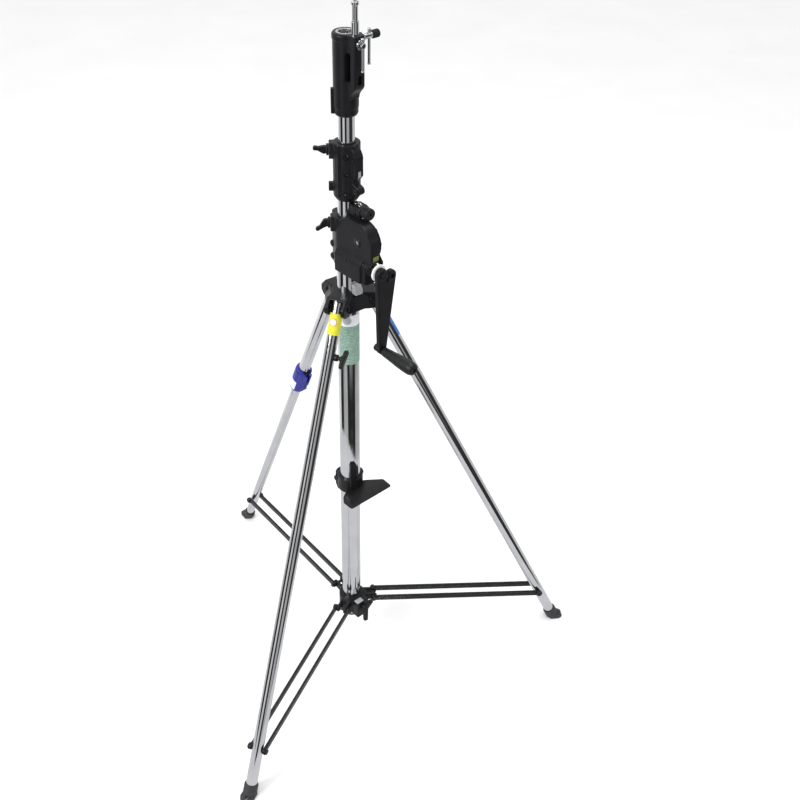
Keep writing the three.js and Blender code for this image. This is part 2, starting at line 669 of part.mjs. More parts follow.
// Cable anchorage standing on the gear case.
function anchorParts() {
  const bottom = WHEEL_Z + CASE_R + GAP;
  const stud = 4.5;
  const anchor = cut(
    solid(block(ANCHOR_START, ANCHOR_END, -14, 14, bottom, ANCHOR_TOP)),
    rodX(stud + 0.5, ANCHOR_END - 14, ANCHOR_END + 7).translate(0, 0, TENSION_Z),
    rod(3, ANCHOR_TOP - 10, ANCHOR_TOP + 10, SMALL_ROUND).translate(31, 0, 0),
  );
  const barrel = join(
    rodX(13, ANCHOR_END + GAP, ANCHOR_END + 20, 28),
    rodX(stud, ANCHOR_END - 9, ANCHOR_END + 3),
  );
  const barrelMesh = built('cable_tension_barrel', barrel, blackPlastic);
  barrelMesh.position.z = TENSION_Z;
  const thimble = mesh('cable_thimble', new THREE.TorusGeometry(4, 1.2, 6, 14), chrome);
  thimble.rotation.x = Math.PI / 2;
  thimble.position.set(ANCHOR_END - 6, -7, ANCHOR_TOP + 5.2 + GAP);
  return [built('cable_anchor_block', anchor, castBlack), barrelMesh, thimble];
}

// A winged lever on its own X axis; the wing ends this far out and up from the seat.
function wingLever(name, tipX, tipZ) {
  const lever = join(
    rodX(PIN_R, -11, 4),
    rodX(12.5, 0, 5, 16),
    slabXZ(linkOutline(9, 0, 9, tipX, tipZ, 4.5), -5, 5),
  );
  return built(name, lever, castBlack);
}

// Six-sided boss that carries a wing lever; it points along the lever azimuth.
function leverBoss(z) {
  return rodX(20, 18, LEVER_SEAT_R, 6).translate(0, 0, z).rotateZ(turn(LEVER_AZIMUTH - DRIVE_AZIMUTH));
}

function leverHole(z) {
  return rodX(PIN_R + 0.4, LEVER_SEAT_R - 13, LEVER_SEAT_R + 20).translate(0, 0, z)
    .rotateZ(turn(LEVER_AZIMUTH - DRIVE_AZIMUTH));
}

function leverOn(name, z, tipX, tipZ) {
  const lever = wingLever(name, tipX, tipZ);
  lever.position.set(LEVER_SEAT_R + GAP, 0, z);
  return turnedGroup(LEVER_AZIMUTH, lever);
}

function winchParts() {
  const bush = ring(COLUMN_R - TUBE_WALL - GAP, RISER_1_R + GAP, GEARBOX_TOP - 28, GEARBOX_TOP + 3);
  const cap = mesh('bearing_cap', bearingCap(), castBlack);
  cap.position.set(0, WORM_Y, WORM_Z);
  const fixed = [
    built('gearbox_body', gearboxBody(), castBlack),
    built('gearbox_cover', gearboxCover(), castBlack),
    mesh('gearbox_bush', bush, blackPlastic),
    cap,
  ];
  const root = turnedGroup(DRIVE_AZIMUTH, ...fixed, ...drumParts(), ...crankParts(), ...anchorParts());
  const whole = new THREE.Group();
  whole.add(root, leverOn('gearbox_lever', GEARBOX_LEVER_Z, 27, -15));
  return whole;
}

// ---- risers ------------------------------------------------------------------------------
function humpOutline() {
  const shape = new THREE.Shape();
  shape.moveTo(10, 1400);
  shape.lineTo(31, 1400);
  shape.lineTo(HUMP_END, 1414);
  shape.lineTo(HUMP_END, 1450);
  shape.absarc(HUMP_END - 26, 1450, 26, 0, Math.PI / 2, false);
  shape.lineTo(10, 1476);
  return shape;
}

// Barrel with a flat front, a hump over the cable pulley, two lugs and a lever boss.
function clampBody() {
  const slotR = PULLEY_R + 1;
  const frontPlate = block(0, 27, -19, 19, CLAMP_BOTTOM + 12, CLAMP_TOP).rotateZ(turn(CLAMP_FACE_AZIMUTH));
  const body = join(
    turned([
      [0, CLAMP_BOTTOM], [CLAMP_R - 6, CLAMP_BOTTOM], [CLAMP_R, CLAMP_BOTTOM + 9], [CLAMP_R, CLAMP_TOP],
      [0, CLAMP_TOP],
    ]),
    frontPlate,
    slabXZ(humpOutline(), -HUMP_HALF, HUMP_HALF, 8),
    slabXZ(linkOutline(24, 1384, 13, 39, 1382, 9.5), -9, 9),
    rodX(10.5, 20, 38.5, 16).translate(0, 0, 1379).rotateZ(turn(LEVER_AZIMUTH - DRIVE_AZIMUTH)),
    leverBoss(CLAMP_LEVER_Z),
  );
  return cut(
    body,
    rod(RISER_1_R + GAP, CLAMP_BOTTOM - 5, RISER_1_TOP + GAP),
    rod(20.3, RISER_1_TOP - 5, CLAMP_TOP + 5),
    slabXZ(linkOutline(PULLEY_X, PULLEY_Z, slotR, PULLEY_X, 1425, slotR), -5.5, 5.5, 8),
    block(HUMP_END - 4, HUMP_END + 8, -4.5, 4.5, 1411, 1426),
    rodY(PIN_R + GAP, -20, 20).translate(PULLEY_X, 0, PULLEY_Z),
    leverHole(CLAMP_LEVER_Z),
  );
}

function riser1Parts() {
  const [bore, floorR] = [PIN_R + 0.4, PULLEY_R - 1.5];
  const pulleyProfile = [
    [bore, -4.5], [PULLEY_R, -4.5], [PULLEY_R, -3.2], [floorR, -1.2], [floorR, 1.2], [PULLEY_R, 3.2],
    [PULLEY_R, 4.5], [bore, 4.5], [bore, -4.5],
  ];
  const pulley = mesh('clamp_1_pulley', turned(pulleyProfile, 16).rotateX(Math.PI / 2), blackPlastic);
  const pin = mesh('clamp_1_pulley_pin', rodY(PIN_R, -12, 12), bareSteel);
  for (const part of [pulley, pin]) part.position.set(PULLEY_X, 0, PULLEY_Z);
  const guide = ring(22.7, RISER_1_R + GAP, RISER_1_BOTTOM + 2, RISER_1_BOTTOM + 40);
  const bush = ring(20, RISER_2_R + GAP, RISER_1_TOP + 3, CLAMP_TOP + 2);
  const root = new THREE.Group();
  root.add(
    mesh('riser_1_tube', tube(RISER_1_R, RISER_1_BOTTOM, RISER_1_TOP), chrome),
    mesh('riser_1_bush', guide, blackPlastic),
    mesh('clamp_1_bush', bush, blackPlastic),
    turnedGroup(DRIVE_AZIMUTH, built('clamp_1_body', clampBody(), castBlack), pulley, pin),
    leverOn('clamp_1_lever', CLAMP_LEVER_Z, 28, 3),
  );
  return root;
}

// ---- head --------------------------------------------------------------------------------
// Socket barrel with the spigot arm beside it, a slot each side of the arm and a rib at the back.
function headCasting() {
  const arm = new THREE.Shape();
  arm.moveTo(0, 1560);
  arm.lineTo(26, 1576);
  arm.bezierCurveTo(29, 1596, SPIGOT_ARM_END, 1592, SPIGOT_ARM_END, 1612);
  arm.lineTo(SPIGOT_ARM_END, HEAD_TOP - 3);
  arm.lineTo(SPIGOT_ARM_END - 3, HEAD_TOP);
  arm.lineTo(0, HEAD_TOP);
  const window = linkOutline(24.5, 1618, 6, 24.5, 1660, 6);
  const body = join(
    turned([
      [0, HEAD_BOTTOM], [23, HEAD_BOTTOM], [25, HEAD_BOTTOM + 4], [25, HEAD_BOTTOM + 16],
      [HEAD_R, HEAD_BOTTOM + 17], [HEAD_R, 1690], [27.5, 1691], [27.5, HEAD_TOP - 4],
      [24.5, HEAD_TOP], [0, HEAD_TOP],
    ]),
    slabXZ(arm, -SPIGOT_ARM_HALF, SPIGOT_ARM_HALF, 8),
    block(10, 31, -5, 5, HEAD_BOTTOM + 2, 1592).rotateZ(turn(HEAD_RIB_AZIMUTH)),
    rodY(10, 10, SOCKET_SCREW_START, 16).translate(0, 0, SOCKET_SCREW_Z),
  );
  return cut(
    body,
    rod(RISER_2_R + GAP, HEAD_BOTTOM - 5, RISER_2_TOP + GAP),
    rod(SOCKET_R + 2.5, 1598, HEAD_TOP + 5),
    rod(SOCKET_FLANGE_R + GAP, HEAD_TOP - 3.3, HEAD_TOP + 5),
    rod(SPIGOT_R + GAP, 1672, HEAD_TOP + 5, 20).translate(SPIGOT_X, 0, 0),
    slabXZ(window, -40, -4),
    slabXZ(window, 4, 40),
    rodX(PIN_R + 0.4, SPIGOT_X + 5, 60).translate(0, 0, SPIGOT_SCREW_Z),
    rodY(PIN_R + 0.4, 10, 60).translate(0, 0, SOCKET_SCREW_Z),
    slabYZ(linkOutline(0, 1613, 5, 0, 1622, 5), 36, 60),
  );
}

// Steel lining of the socket, with a narrow flange let into the top of the casting.
function socketSleeve() {
  return turned([
    [SOCKET_R, 1599], [SOCKET_R + 2.2, 1599], [SOCKET_R + 2.2, HEAD_TOP - 3], [SOCKET_FLANGE_R, HEAD_TOP - 3],
    [SOCKET_FLANGE_R, HEAD_TOP - GAP], [SOCKET_R, HEAD_TOP - GAP], [SOCKET_R, 1599],
  ]);
}

function spigot() {
  return turned([
    [0, 1673], [SPIGOT_R, 1673], [SPIGOT_R, 1729], [6, 1732], [6, SPIGOT_TOP - 8], [SPIGOT_R, SPIGOT_TOP - 6],
    [SPIGOT_R, SPIGOT_TOP - 1], [SPIGOT_R - 1, SPIGOT_TOP], [0, SPIGOT_TOP],
  ], 20);
}

// Clamp screw along X: a round flange at the seat, then a neck with a bar sliding through it.
function tScrew(name, tip, seat, neckR, end, barX) {
  const screw = join(rodX(PIN_R, tip, seat + 2), rodX(10, seat, seat + 3.5, 20), rodX(neckR, seat, end, 16));
  const barHole = rod(3.2 + GAP, -20, 20, SMALL_ROUND).translate(barX, 0, 0);
  return built(name, cut(screw, barHole), chrome);
}

function slidingBar(name, x, up, down) {
  const bar = join(
    rod(3.2, -down, up, SMALL_ROUND),
    rod(4, up - 3, up, SMALL_ROUND),
    rod(4, -down, -down + 3, SMALL_ROUND),
  );
  const part = built(name, bar, chrome);
  part.position.x = x;
  return part;
}

function headParts() {
  const spigotMesh = mesh('spigot', spigot(), chrome);
  spigotMesh.position.x = SPIGOT_X;
  const spigotSeat = SPIGOT_ARM_END + GAP;
  const spigotBarX = spigotSeat + 7.5;
  const spigotScrew = new THREE.Group();
  spigotScrew.position.z = SPIGOT_SCREW_Z;
  spigotScrew.add(
    tScrew('spigot_screw', SPIGOT_X + SPIGOT_R + GAP, spigotSeat, 5.5, spigotSeat + 12, spigotBarX),
    slidingBar('spigot_screw_bar', spigotBarX, 14, 52),
  );
  const socketSeat = SOCKET_SCREW_START + GAP;
  const socketBarX = socketSeat + 20.5;
  const socketScrew = new THREE.Group();
  socketScrew.position.z = SOCKET_SCREW_Z;
  socketScrew.rotation.z = Math.PI / 2;
  socketScrew.add(
    tScrew('socket_screw', SOCKET_R + 3.2, socketSeat, 8.5, socketSeat + 44, socketBarX),
    slidingBar('socket_screw_bar', socketBarX, 14, 58),
  );
  const guide = ring(18.7, RISER_2_R + GAP, RISER_2_BOTTOM + 2, RISER_2_BOTTOM + 40);
  const root = new THREE.Group();
  root.add(
    mesh('riser_2_tube', tube(RISER_2_R, RISER_2_BOTTOM, RISER_2_TOP), chrome),
    mesh('riser_2_bush', guide, blackPlastic),
    mesh('socket_sleeve', socketSleeve(), bareSteel),
    turnedGroup(DRIVE_AZIMUTH, built('head_casting', headCasting(), castBlack), spigotMesh,
      spigotScrew, socketScrew),
  );
  return root;
}

// ---- the stand ---------------------------------------------------------------------------
const stand = new THREE.Group();
stand.add(
  ...columnParts(), bracketParts(), legParts(), hubParts(), winchParts(), riser1Parts(), headParts(),
);
const ground = new THREE.Box3().setFromObject(stand, true);
stand.position.x = -(ground.min.x + ground.max.x) / 2;
export default stand;
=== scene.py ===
"""Crank lighting stand: the visible pieces, their finishes and the studio, built round the CAD frame."""
import json
import math

import bmesh
import bpy
from mathutils import Matrix, Vector


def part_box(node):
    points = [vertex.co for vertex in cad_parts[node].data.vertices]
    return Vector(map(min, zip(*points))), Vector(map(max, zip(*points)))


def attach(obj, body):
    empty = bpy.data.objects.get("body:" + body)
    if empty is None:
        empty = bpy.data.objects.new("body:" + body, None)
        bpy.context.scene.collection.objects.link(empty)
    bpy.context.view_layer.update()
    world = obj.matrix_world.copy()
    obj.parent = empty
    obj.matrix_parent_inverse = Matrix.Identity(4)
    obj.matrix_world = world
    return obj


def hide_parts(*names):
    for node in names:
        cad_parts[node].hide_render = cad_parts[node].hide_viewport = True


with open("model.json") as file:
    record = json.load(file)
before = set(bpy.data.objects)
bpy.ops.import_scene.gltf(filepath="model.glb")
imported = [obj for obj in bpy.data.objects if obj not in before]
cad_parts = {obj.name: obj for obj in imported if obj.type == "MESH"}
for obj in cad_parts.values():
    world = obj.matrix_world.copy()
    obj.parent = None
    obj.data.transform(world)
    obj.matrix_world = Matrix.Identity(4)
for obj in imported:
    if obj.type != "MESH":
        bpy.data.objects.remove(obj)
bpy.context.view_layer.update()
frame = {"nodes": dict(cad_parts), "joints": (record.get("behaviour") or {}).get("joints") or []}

# ---- driving dimensions, in millimetres, and places read from the frame -----------------------
MM = 0.001
GAP = 0.3                        # clearance between pieces that rest on or run in each other
TUBE_WALL = 2.0
FOOT_RADIUS = 585.0              # floor radius of the leg axes
STRUT_SIDE = 18.0                # each strut runs this far beside its leg
STRUT_BOLT = (530.0, 115.0)      # radius and height where the struts meet the legs
HUB_KNOB_DROP = 7.0              # hub pivots down to the thumb screw
LEVER_AZIMUTH = 176.0
LEVER_SEAT_R = 37.0              # column axis to the seats of the lock levers
STICKER = 0.25                   # thickness of a wrapped label
LETTERS = "abc"

JOINTS = {joint["name"]: joint for joint in frame["joints"]}
SCENE = bpy.context.scene


def column_axis():
    """Where the column axis meets the floor."""
    low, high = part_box("column_tube")
    return Vector(((low.x + high.x) / 2, (low.y + high.y) / 2, 0)) / MM


AXIS = column_axis()


def box(node):
    """Corners of a CAD node's box, counted from the foot of the column axis."""
    return [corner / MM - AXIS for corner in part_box(node)]


def joint_place(name):
    return Vector(JOINTS[name]["pos_m"]) / MM - AXIS


def joint_azimuth(name):
    """Degrees round the column at which a joint's pivot stands."""
    place = joint_place(name)
    return math.degrees(math.atan2(place.y, place.x))


def about_z(degrees):
    return Matrix.Rotation(math.radians(degrees), 4, "Z")


def upright(node):
    """Outer radius, bottom and top of a round node that stands on the column axis."""
    low, high = box(node)
    return (high.x - low.x) / 2, low.z, high.z


CRANK_AXIS = Vector(JOINTS["crank_turn"]["axis"])
DRIVE = about_z(math.degrees(math.atan2(CRANK_AXIS.y, CRANK_AXIS.x)))


def drive_place(joint):
    """A joint's pivot in the drive frame, whose X axis runs out along the crank shaft."""
    return DRIVE.inverted() @ joint_place(joint)


WORM = drive_place("crank_turn")
WHEEL = drive_place("drum_turn")
PULLEY = drive_place("pulley_turn")
CRANK_END = drive_place("grip_spin")
LEG_PIVOT = joint_place("leg_b_fold")
HUB_PIVOT = joint_place("struts_b_fold")
LEG_TILT = math.atan2(FOOT_RADIUS - LEG_PIVOT.x, LEG_PIVOT.z)
LEG_LENGTH = math.hypot(FOOT_RADIUS - LEG_PIVOT.x, LEG_PIVOT.z)


def leg_place(letter):
    """A leg's own frame: the pivot is its origin, Z runs down the leg and X to the inner side."""
    pivot = Matrix.Translation(LEG_PIVOT)
    lean = Matrix.Rotation(math.pi - LEG_TILT, 4, "Y")
    return about_z(joint_azimuth(f"leg_{letter}_fold")) @ pivot @ lean


def along_leg(z):
    """Distance down a leg at which its axis passes the height z."""
    return (LEG_PIVOT.z - z) / math.cos(LEG_TILT)


# ---- outlines --------------------------------------------------------------------------------
def arc(x, y, radius, start, end, steps=16):
    """Points on a circle between two angles in degrees."""
    angles = [math.radians(start + (end - start) * k / steps) for k in range(steps + 1)]
    return [(x + radius * math.cos(a), y + radius * math.sin(a)) for a in angles]


def link(x0, y0, r0, x1, y1, r1, steps=20):
    """Two round ends joined by straight tangents."""
    along = math.degrees(math.atan2(y1 - y0, x1 - x0))
    spread = math.degrees(math.acos((r0 - r1) / math.hypot(x1 - x0, y1 - y0)))
    first = arc(x0, y0, r0, along + spread, along - spread + 360, steps)
    return first + arc(x1, y1, r1, along - spread, along + spread, steps)


def eased(points, radius, closed=True, steps=4):
    """The same outline with its corners rounded; an open one keeps its two ends."""
    result = []
    for index, point in enumerate(points):
        here = Vector(point)
        if not closed and index in (0, len(points) - 1):
            result.append(here)
            continue
        back = Vector(points[index - 1]) - here
        ahead = Vector(points[(index + 1) % len(points)]) - here
        opening = back.angle(ahead, math.pi)
        if opening > math.radians(165):
            result.append(here)
            continue
        reach = min(radius / math.tan(opening / 2), 0.45 * back.length, 0.45 * ahead.length)
        start = here + back.normalized() * reach
        end = here + ahead.normalized() * reach
        for k in range(steps + 1):
            t = k / steps
            result.append(start * (1 - t) ** 2 + here * (2 * t * (1 - t)) + end * t ** 2)
    return [tuple(point) for point in result]


def inset(outline, distance):
    """A counter-clockwise outline moved inwards by a small distance."""
    result = []
    for index, point in enumerate(outline):
        here = Vector(point)
        before = (here - Vector(outline[index - 1])).normalized()
        after = (Vector(outline[(index + 1) % len(outline)]) - here).normalized()
        inward = Vector((-before.y - after.y, before.x + after.x))
        scale = distance / max(inward.length_squared / 2, 0.2)
        result.append(tuple(here + inward * scale))
    return result


# ---- solids, in millimetres ------------------------------------------------------------------
def solid(corners, faces):
    shape = bmesh.new()
    points = [shape.verts.new(corner) for corner in corners]
    for face in faces:
        shape.faces.new([points[index] for index in face])
    bmesh.ops.recalc_face_normals(shape, faces=shape.faces)
    mesh = bpy.data.meshes.new("solid")
    shape.to_mesh(mesh)
    shape.free()
    body = bpy.data.objects.new("solid", mesh)
    SCENE.collection.objects.link(body)
    return body


def placed(body, matrix):
    body.data.transform(matrix)
    return body


def turned(profile, segments=72):
    """A body of revolution about Z; the (radius, z) profile runs axis to axis or closes on itself."""
    corners, rows, faces = [], [], []
    for radius, z in profile:
        count = segments if radius > 1e-6 else 1
        rows.append([len(corners) + k for k in range(count)])
        for k in range(count):
            angle = 2 * math.pi * k / segments
            corners.append((radius * math.cos(angle), radius * math.sin(angle), z))
    pairs = list(zip(rows, rows[1:]))
    if profile[0][0] > 1e-6:
        pairs.append((rows[-1], rows[0]))
    for low, high in pairs:
        for k in range(segments):
            after = (k + 1) % segments
            around = [low[k % len(low)], low[after % len(low)], high[after % len(high)], high[k % len(high)]]
            face = list(dict.fromkeys(around))
            if len(face) > 2:
                faces.append(face)
    return solid(corners, faces)


def lathe(profile, rim=0.5, segments=72):
    """A turned body with its profile corners rounded."""
    return turned(eased(profile, rim, closed=profile[0][0] > 1e-6), segments)


def between(start, end):
    """The frame whose Z axis runs from start to end."""
    direction = Vector(end) - Vector(start)
    return Matrix.Translation(start) @ direction.to_track_quat("Z", "Y").to_matrix().to_4x4()


def rod(radius, start, end, rim=0.5, segments=48):
    length = (Vector(end) - Vector(start)).length
    body = lathe([(0, 0), (radius, 0), (radius, length), (0, length)], rim, segments)
    return placed(body, between(start, end))


def rod_x(radius, x0, x1, y=0.0, z=0.0, **options):
    return rod(radius, (x0, y, z), (x1, y, z), **options)


def rod_y(radius, y0, y1, x=0.0, z=0.0, **options):
    return rod(radius, (x, y0, z), (x, y1, z), **options)


def rod_z(radius, z0, z1, x=0.0, y=0.0, **options):
    return rod(radius, (x, y, z0), (x, y, z1), **options)


def ring(outer, inner, z0, z1, rim=0.4, segments=96):
    return lathe([(inner, z0), (outer, z0), (outer, z1), (inner, z1)], rim, segments)


def torus(ring_radius, wire_radius, segments=48):
    return turned(arc(ring_radius, 0, wire_radius, 0, 345, 23), segments)


def block(x0, x1, y0, y1, z0, z1, rim=0.8):
    shape = bmesh.new()
    bmesh.ops.create_cube(shape, size=1)
    size = Matrix.Diagonal((x1 - x0, y1 - y0, z1 - z0, 1))
    centre = Matrix.Translation(((x0 + x1) / 2, (y0 + y1) / 2, (z0 + z1) / 2))
    bmesh.ops.transform(shape, matrix=centre @ size, verts=shape.verts)
    if rim:
        bmesh.ops.bevel(shape, geom=shape.edges[:], offset=rim, segments=3, profile=0.5, affect="EDGES")
    mesh = bpy.data.meshes.new("block")
    shape.to_mesh(mesh)
    shape.free()
    body = bpy.data.objects.new("block", mesh)
    SCENE.collection.objects.link(body)
    return body


PLANES = {
    "XY": lambda u, v, w: (u, v, w),
    "XZ": lambda u, v, w: (u, w, v),
    "YZ": lambda u, v, w: (w, u, v),
}


def slab(outline, plane, low, high, rim=0.6, steps=3):
    """A counter-clockwise outline given a thickness from low to high, with rounded rims."""
    levels = [(low, 0), (high, 0)]
    if rim:
        quarter = [math.pi / 2 * k / steps for k in range(steps + 1)]
        levels = [(low + rim * (1 - math.sin(a)), rim * (1 - math.cos(a))) for a in reversed(quarter)]
        levels += [(high - rim * (1 - math.sin(a)), rim * (1 - math.cos(a))) for a in quarter]
    corners = []
    for depth, inward in levels:
        layer = inset(outline, inward) if inward else outline
        corners += [PLANES[plane](u, v, depth) for u, v in layer]
    count = len(outline)
    faces = [list(range(count)), list(range(len(corners) - count, len(corners)))]
    for level in range(len(levels) - 1):
        start = level * count
        for k in range(count):
            after = (k + 1) % count
            faces.append([start + k, start + after, start + count + after, start + count + k])
    return solid(corners, faces)


def settle(body):
    """Applies the modifiers."""
    graph = bpy.context.evaluated_depsgraph_get()
    mesh = bpy.data.meshes.new_from_object(body.evaluated_get(graph))
    body.modifiers.clear()
    old = body.data
    body.data = mesh
    bpy.data.meshes.remove(old)
    return body


def combine(body, others, operation):
    for other in others:
        step = body.modifiers.new("combine", "BOOLEAN")
        step.operation = operation
        step.solver = "MANIFOLD"
        step.object = other
    settle(body)
    for other in others:
        bpy.data.meshes.remove(other.data)
    return body


def join(body, *others):
    return combine(body, others, "UNION")


def cut(body, *tools):
    return combine(body, tools, "DIFFERENCE")


def soften(body, voxel=1.0, rounds=4):
    """Runs the joins of a cast or moulded body into each other with small fillets."""
    remesh = body.modifiers.new("remesh", "REMESH")
    remesh.mode = "VOXEL"
    remesh.voxel_size = voxel
    smooth = body.modifiers.new("smooth", "SMOOTH")
    smooth.factor = 0.5
    smooth.iterations = rounds
    return settle(body)


def socket(radius, start, end):
    """Six-sided tool for the socket of a screw head."""
    return rod(radius, start, end, rim=0, segments=6)


def cap_screw(radius, height, start, end):
    """A socket cap screw head, its outer face at end, with a shank back to start."""
    direction = (Vector(end) - Vector(start)).normalized()
    face = Vector(end)
    head = join(rod(radius, face - direction * height, face, rim=0.5), rod(radius * 0.55, start, face))
    key = socket(radius * 0.5, face - direction * height * 0.55, face + direction * 2)
    return cut(head, key)


# ---- finishes --------------------------------------------------------------------------------
class Finish:
    """A node material being put together."""

    def __init__(self, name, metallic=0.0):
        self.material = bpy.data.materials.new(name)
        self.material.use_nodes = True
        self.tree = self.material.node_tree
        self.shader = self.tree.nodes["Principled BSDF"]
        self.shader.inputs["Metallic"].default_value = metallic
        self.place = self.tree.nodes.new("ShaderNodeTexCoord").outputs["Object"]

    def node(self, kind, **inputs):
        node = self.tree.nodes.new(kind)
        for name, value in inputs.items():
            target = node.inputs[name.replace("_", " ")]
            if isinstance(value, bpy.types.NodeSocket):
                self.tree.links.new(value, target)
            else:
                target.default_value = value
        return node

    def noise(self, size, detail=3.0, stretch=(1, 1, 1)):
        """Noise whose patches are about size millimetres, longer along an axis with a larger stretch."""
        scale = [1 / (size * MM * factor) for factor in stretch]
        mapping = self.node("ShaderNodeMapping", Vector=self.place, Scale=scale)
        texture = self.node("ShaderNodeTexNoise", Vector=mapping.outputs[0], Scale=1.0, Detail=detail)
        return texture.outputs["Fac"]

    def height(self):
        return self.node("ShaderNodeSeparateXYZ", Vector=self.place).outputs["Z"]

    def math(self, operation, first, second=0.0):
        node = self.tree.nodes.new("ShaderNodeMath")
        node.operation = operation
        for target, value in zip(node.inputs, (first, second)):
            if isinstance(value, bpy.types.NodeSocket):
                self.tree.links.new(value, target)
            else:
                target.default_value = value
        return node.outputs[0]

    def spread(self, value, low, high, new_low, new_high):
        node = self.node("ShaderNodeMapRange", Value=value)
        for name, number in zip(("From Min", "From Max", "To Min", "To Max"), (low, high, new_low, new_high)):
            node.inputs[name].default_value = number
        return node.outputs[0]

    def ramp(self, value, *stops):
        node = self.node("ShaderNodeValToRGB", Fac=value)
        while len(node.color_ramp.elements) < len(stops):
            node.color_ramp.elements.new(0.5)
        for element, (position, colour) in zip(node.color_ramp.elements, stops):
            element.position = position
            element.color = (*colour, 1)
        return node.outputs["Color"]

    def mix(self, share, first, second):
        node = self.tree.nodes.new("ShaderNodeMix")
        node.data_type = "RGBA"
        for name, value in (("Factor", share), ("A", first), ("B", second)):
            target = next(s for s in node.inputs if s.name == name and s.enabled)
            if isinstance(value, bpy.types.NodeSocket):
                self.tree.links.new(value, target)
            else:
                target.default_value = (*value, 1) if isinstance(value, tuple) else value
        return next(s for s in node.outputs if s.enabled)

    def worn_edges(self, start=0.53, end=0.60):
        """Nought on flat and hollow places, rising to one on sharp outer edges."""
        pointiness = self.node("ShaderNodeNewGeometry").outputs["Pointiness"]
        return self.spread(pointiness, start, end, 0.0, 1.0)

    def colour(self, value):
        self.tree.links.new(value, self.shader.inputs["Base Color"])

    def rough(self, value):
        self.tree.links.new(value, self.shader.inputs["Roughness"])

    def sheen(self, level):
        """How strongly a painted or moulded face mirrors the room; 0.5 is usual."""
        self.shader.inputs["Specular IOR Level"].default_value = level

    def bump(self, value, depth, strength=0.5):
        node = self.node("ShaderNodeBump", Height=value, Distance=depth * MM, Strength=strength)
        self.tree.links.new(node.outputs[0], self.shader.inputs["Normal"])

    def done(self):
        return self.material


def chrome():
    look = Finish("chrome_plate", metallic=1.0)
    cloud = look.noise(60, 3)
    look.colour(look.ramp(cloud, (0.3, (0.74, 0.75, 0.77)), (0.7, (0.84, 0.84, 0.85))))
    smears = look.noise(3, 4, stretch=(1, 1, 14))
    look.rough(look.spread(smears, 0.3, 0.8, 0.05, 0.15))
    look.bump(look.noise(2.5, 3, stretch=(1, 1, 30)), 0.02, 0.25)
    return look.done()


def cast_black():
    look = Finish("black_powder_coat")
    cloud = look.noise(25, 4)
    paint = look.ramp(cloud, (0.25, (0.006, 0.006, 0.008)), (0.75, (0.010, 0.010, 0.012)))
    scuffs = look.math("MULTIPLY", look.worn_edges(), look.spread(look.noise(5, 5), 0.45, 0.65, 0.0, 0.8))
    look.colour(look.mix(scuffs, paint, (0.11, 0.11, 0.12)))
    look.rough(look.spread(look.noise(9, 5), 0.3, 0.7, 0.30, 0.42))
    look.bump(look.noise(1.3, 3), 0.12, 0.3)
    look.sheen(0.26)
    return look.done()


def black_plastic():
    look = Finish("black_moulded_plastic")
    look.colour(look.ramp(look.noise(12, 4), (0.3, (0.007, 0.008, 0.008)), (0.7, (0.012, 0.014, 0.014))))
    look.rough(look.spread(look.noise(4, 5), 0.3, 0.7, 0.34, 0.50))
    look.bump(look.noise(0.7, 2), 0.08, 0.35)
    look.sheen(0.35)
    return look.done()


def blue_plastic():
    look = Finish("blue_moulded_plastic")
    base = look.ramp(look.noise(10, 4), (0.3, (0.010, 0.013, 0.20)), (0.7, (0.017, 0.022, 0.29)))
    look.colour(look.mix(look.worn_edges(0.54, 0.64), base, (0.07, 0.09, 0.50)))
    look.rough(look.spread(look.noise(4, 4), 0.3, 0.7, 0.34, 0.48))
    look.bump(look.noise(0.8, 2), 0.08, 0.3)
    return look.done()


def white_plastic():
    look = Finish("white_nylon")
    look.colour(look.ramp(look.noise(6, 4), (0.3, (0.78, 0.78, 0.76)), (0.7, (0.88, 0.88, 0.87))))
    look.rough(look.spread(look.noise(3, 4), 0.3, 0.7, 0.38, 0.52))
    look.bump(look.noise(0.8, 2), 0.06, 0.3)
    return look.done()


def painted_steel():
    look = Finish("black_painted_steel")
    paint = look.ramp(look.noise(30, 4), (0.3, (0.006, 0.006, 0.007)), (0.7, (0.011, 0.011, 0.012)))
    scuffs = look.math("MULTIPLY", look.worn_edges(0.52, 0.58), look.spread(look.noise(4, 5), 0.5, 0.66, 0, 0.7))
    look.colour(look.mix(scuffs, paint, (0.16, 0.16, 0.17)))
    look.rough(look.spread(look.noise(14, 5), 0.3, 0.7, 0.28, 0.44))
    look.bump(look.noise(2.2, 4), 0.1, 0.3)
    look.sheen(0.26)
    return look.done()


def bare_steel():
    look = Finish("zinc_plated_steel", metallic=1.0)
    look.colour(look.ramp(look.noise(7, 5), (0.3, (0.50, 0.50, 0.51)), (0.7, (0.66, 0.66, 0.65))))
    look.rough(look.spread(look.noise(2, 5), 0.3, 0.7, 0.20, 0.38))
    look.bump(look.noise(0.6, 3), 0.04, 0.3)
    return look.done()


def bronze():
    look = Finish("cast_bronze", metallic=1.0)
    look.colour(look.ramp(look.noise(8, 5), (0.3, (0.42, 0.26, 0.10)), (0.7, (0.60, 0.40, 0.18))))
    look.rough(look.spread(look.noise(3, 5), 0.3, 0.7, 0.30, 0.48))
    look.bump(look.noise(1.0, 3), 0.06, 0.3)
    return look.done()


def printed_rules(look, pitch, share, base, ink, above=None):
    """Thin level rules broken along their length, as small print seen from a distance."""
    rows = look.math("FRACT", look.math("DIVIDE", look.height(), pitch * MM))
    line = look.math("LESS_THAN", rows, share)
    words = look.math("GREATER_THAN", look.noise(3.0, 2, stretch=(1, 1, 0.4)), 0.47)
    print_mask = look.math("MULTIPLY", line, words)
    if above is not None:
        print_mask = look.math("MULTIPLY", print_mask, above)
    return look.mix(print_mask, base, ink)


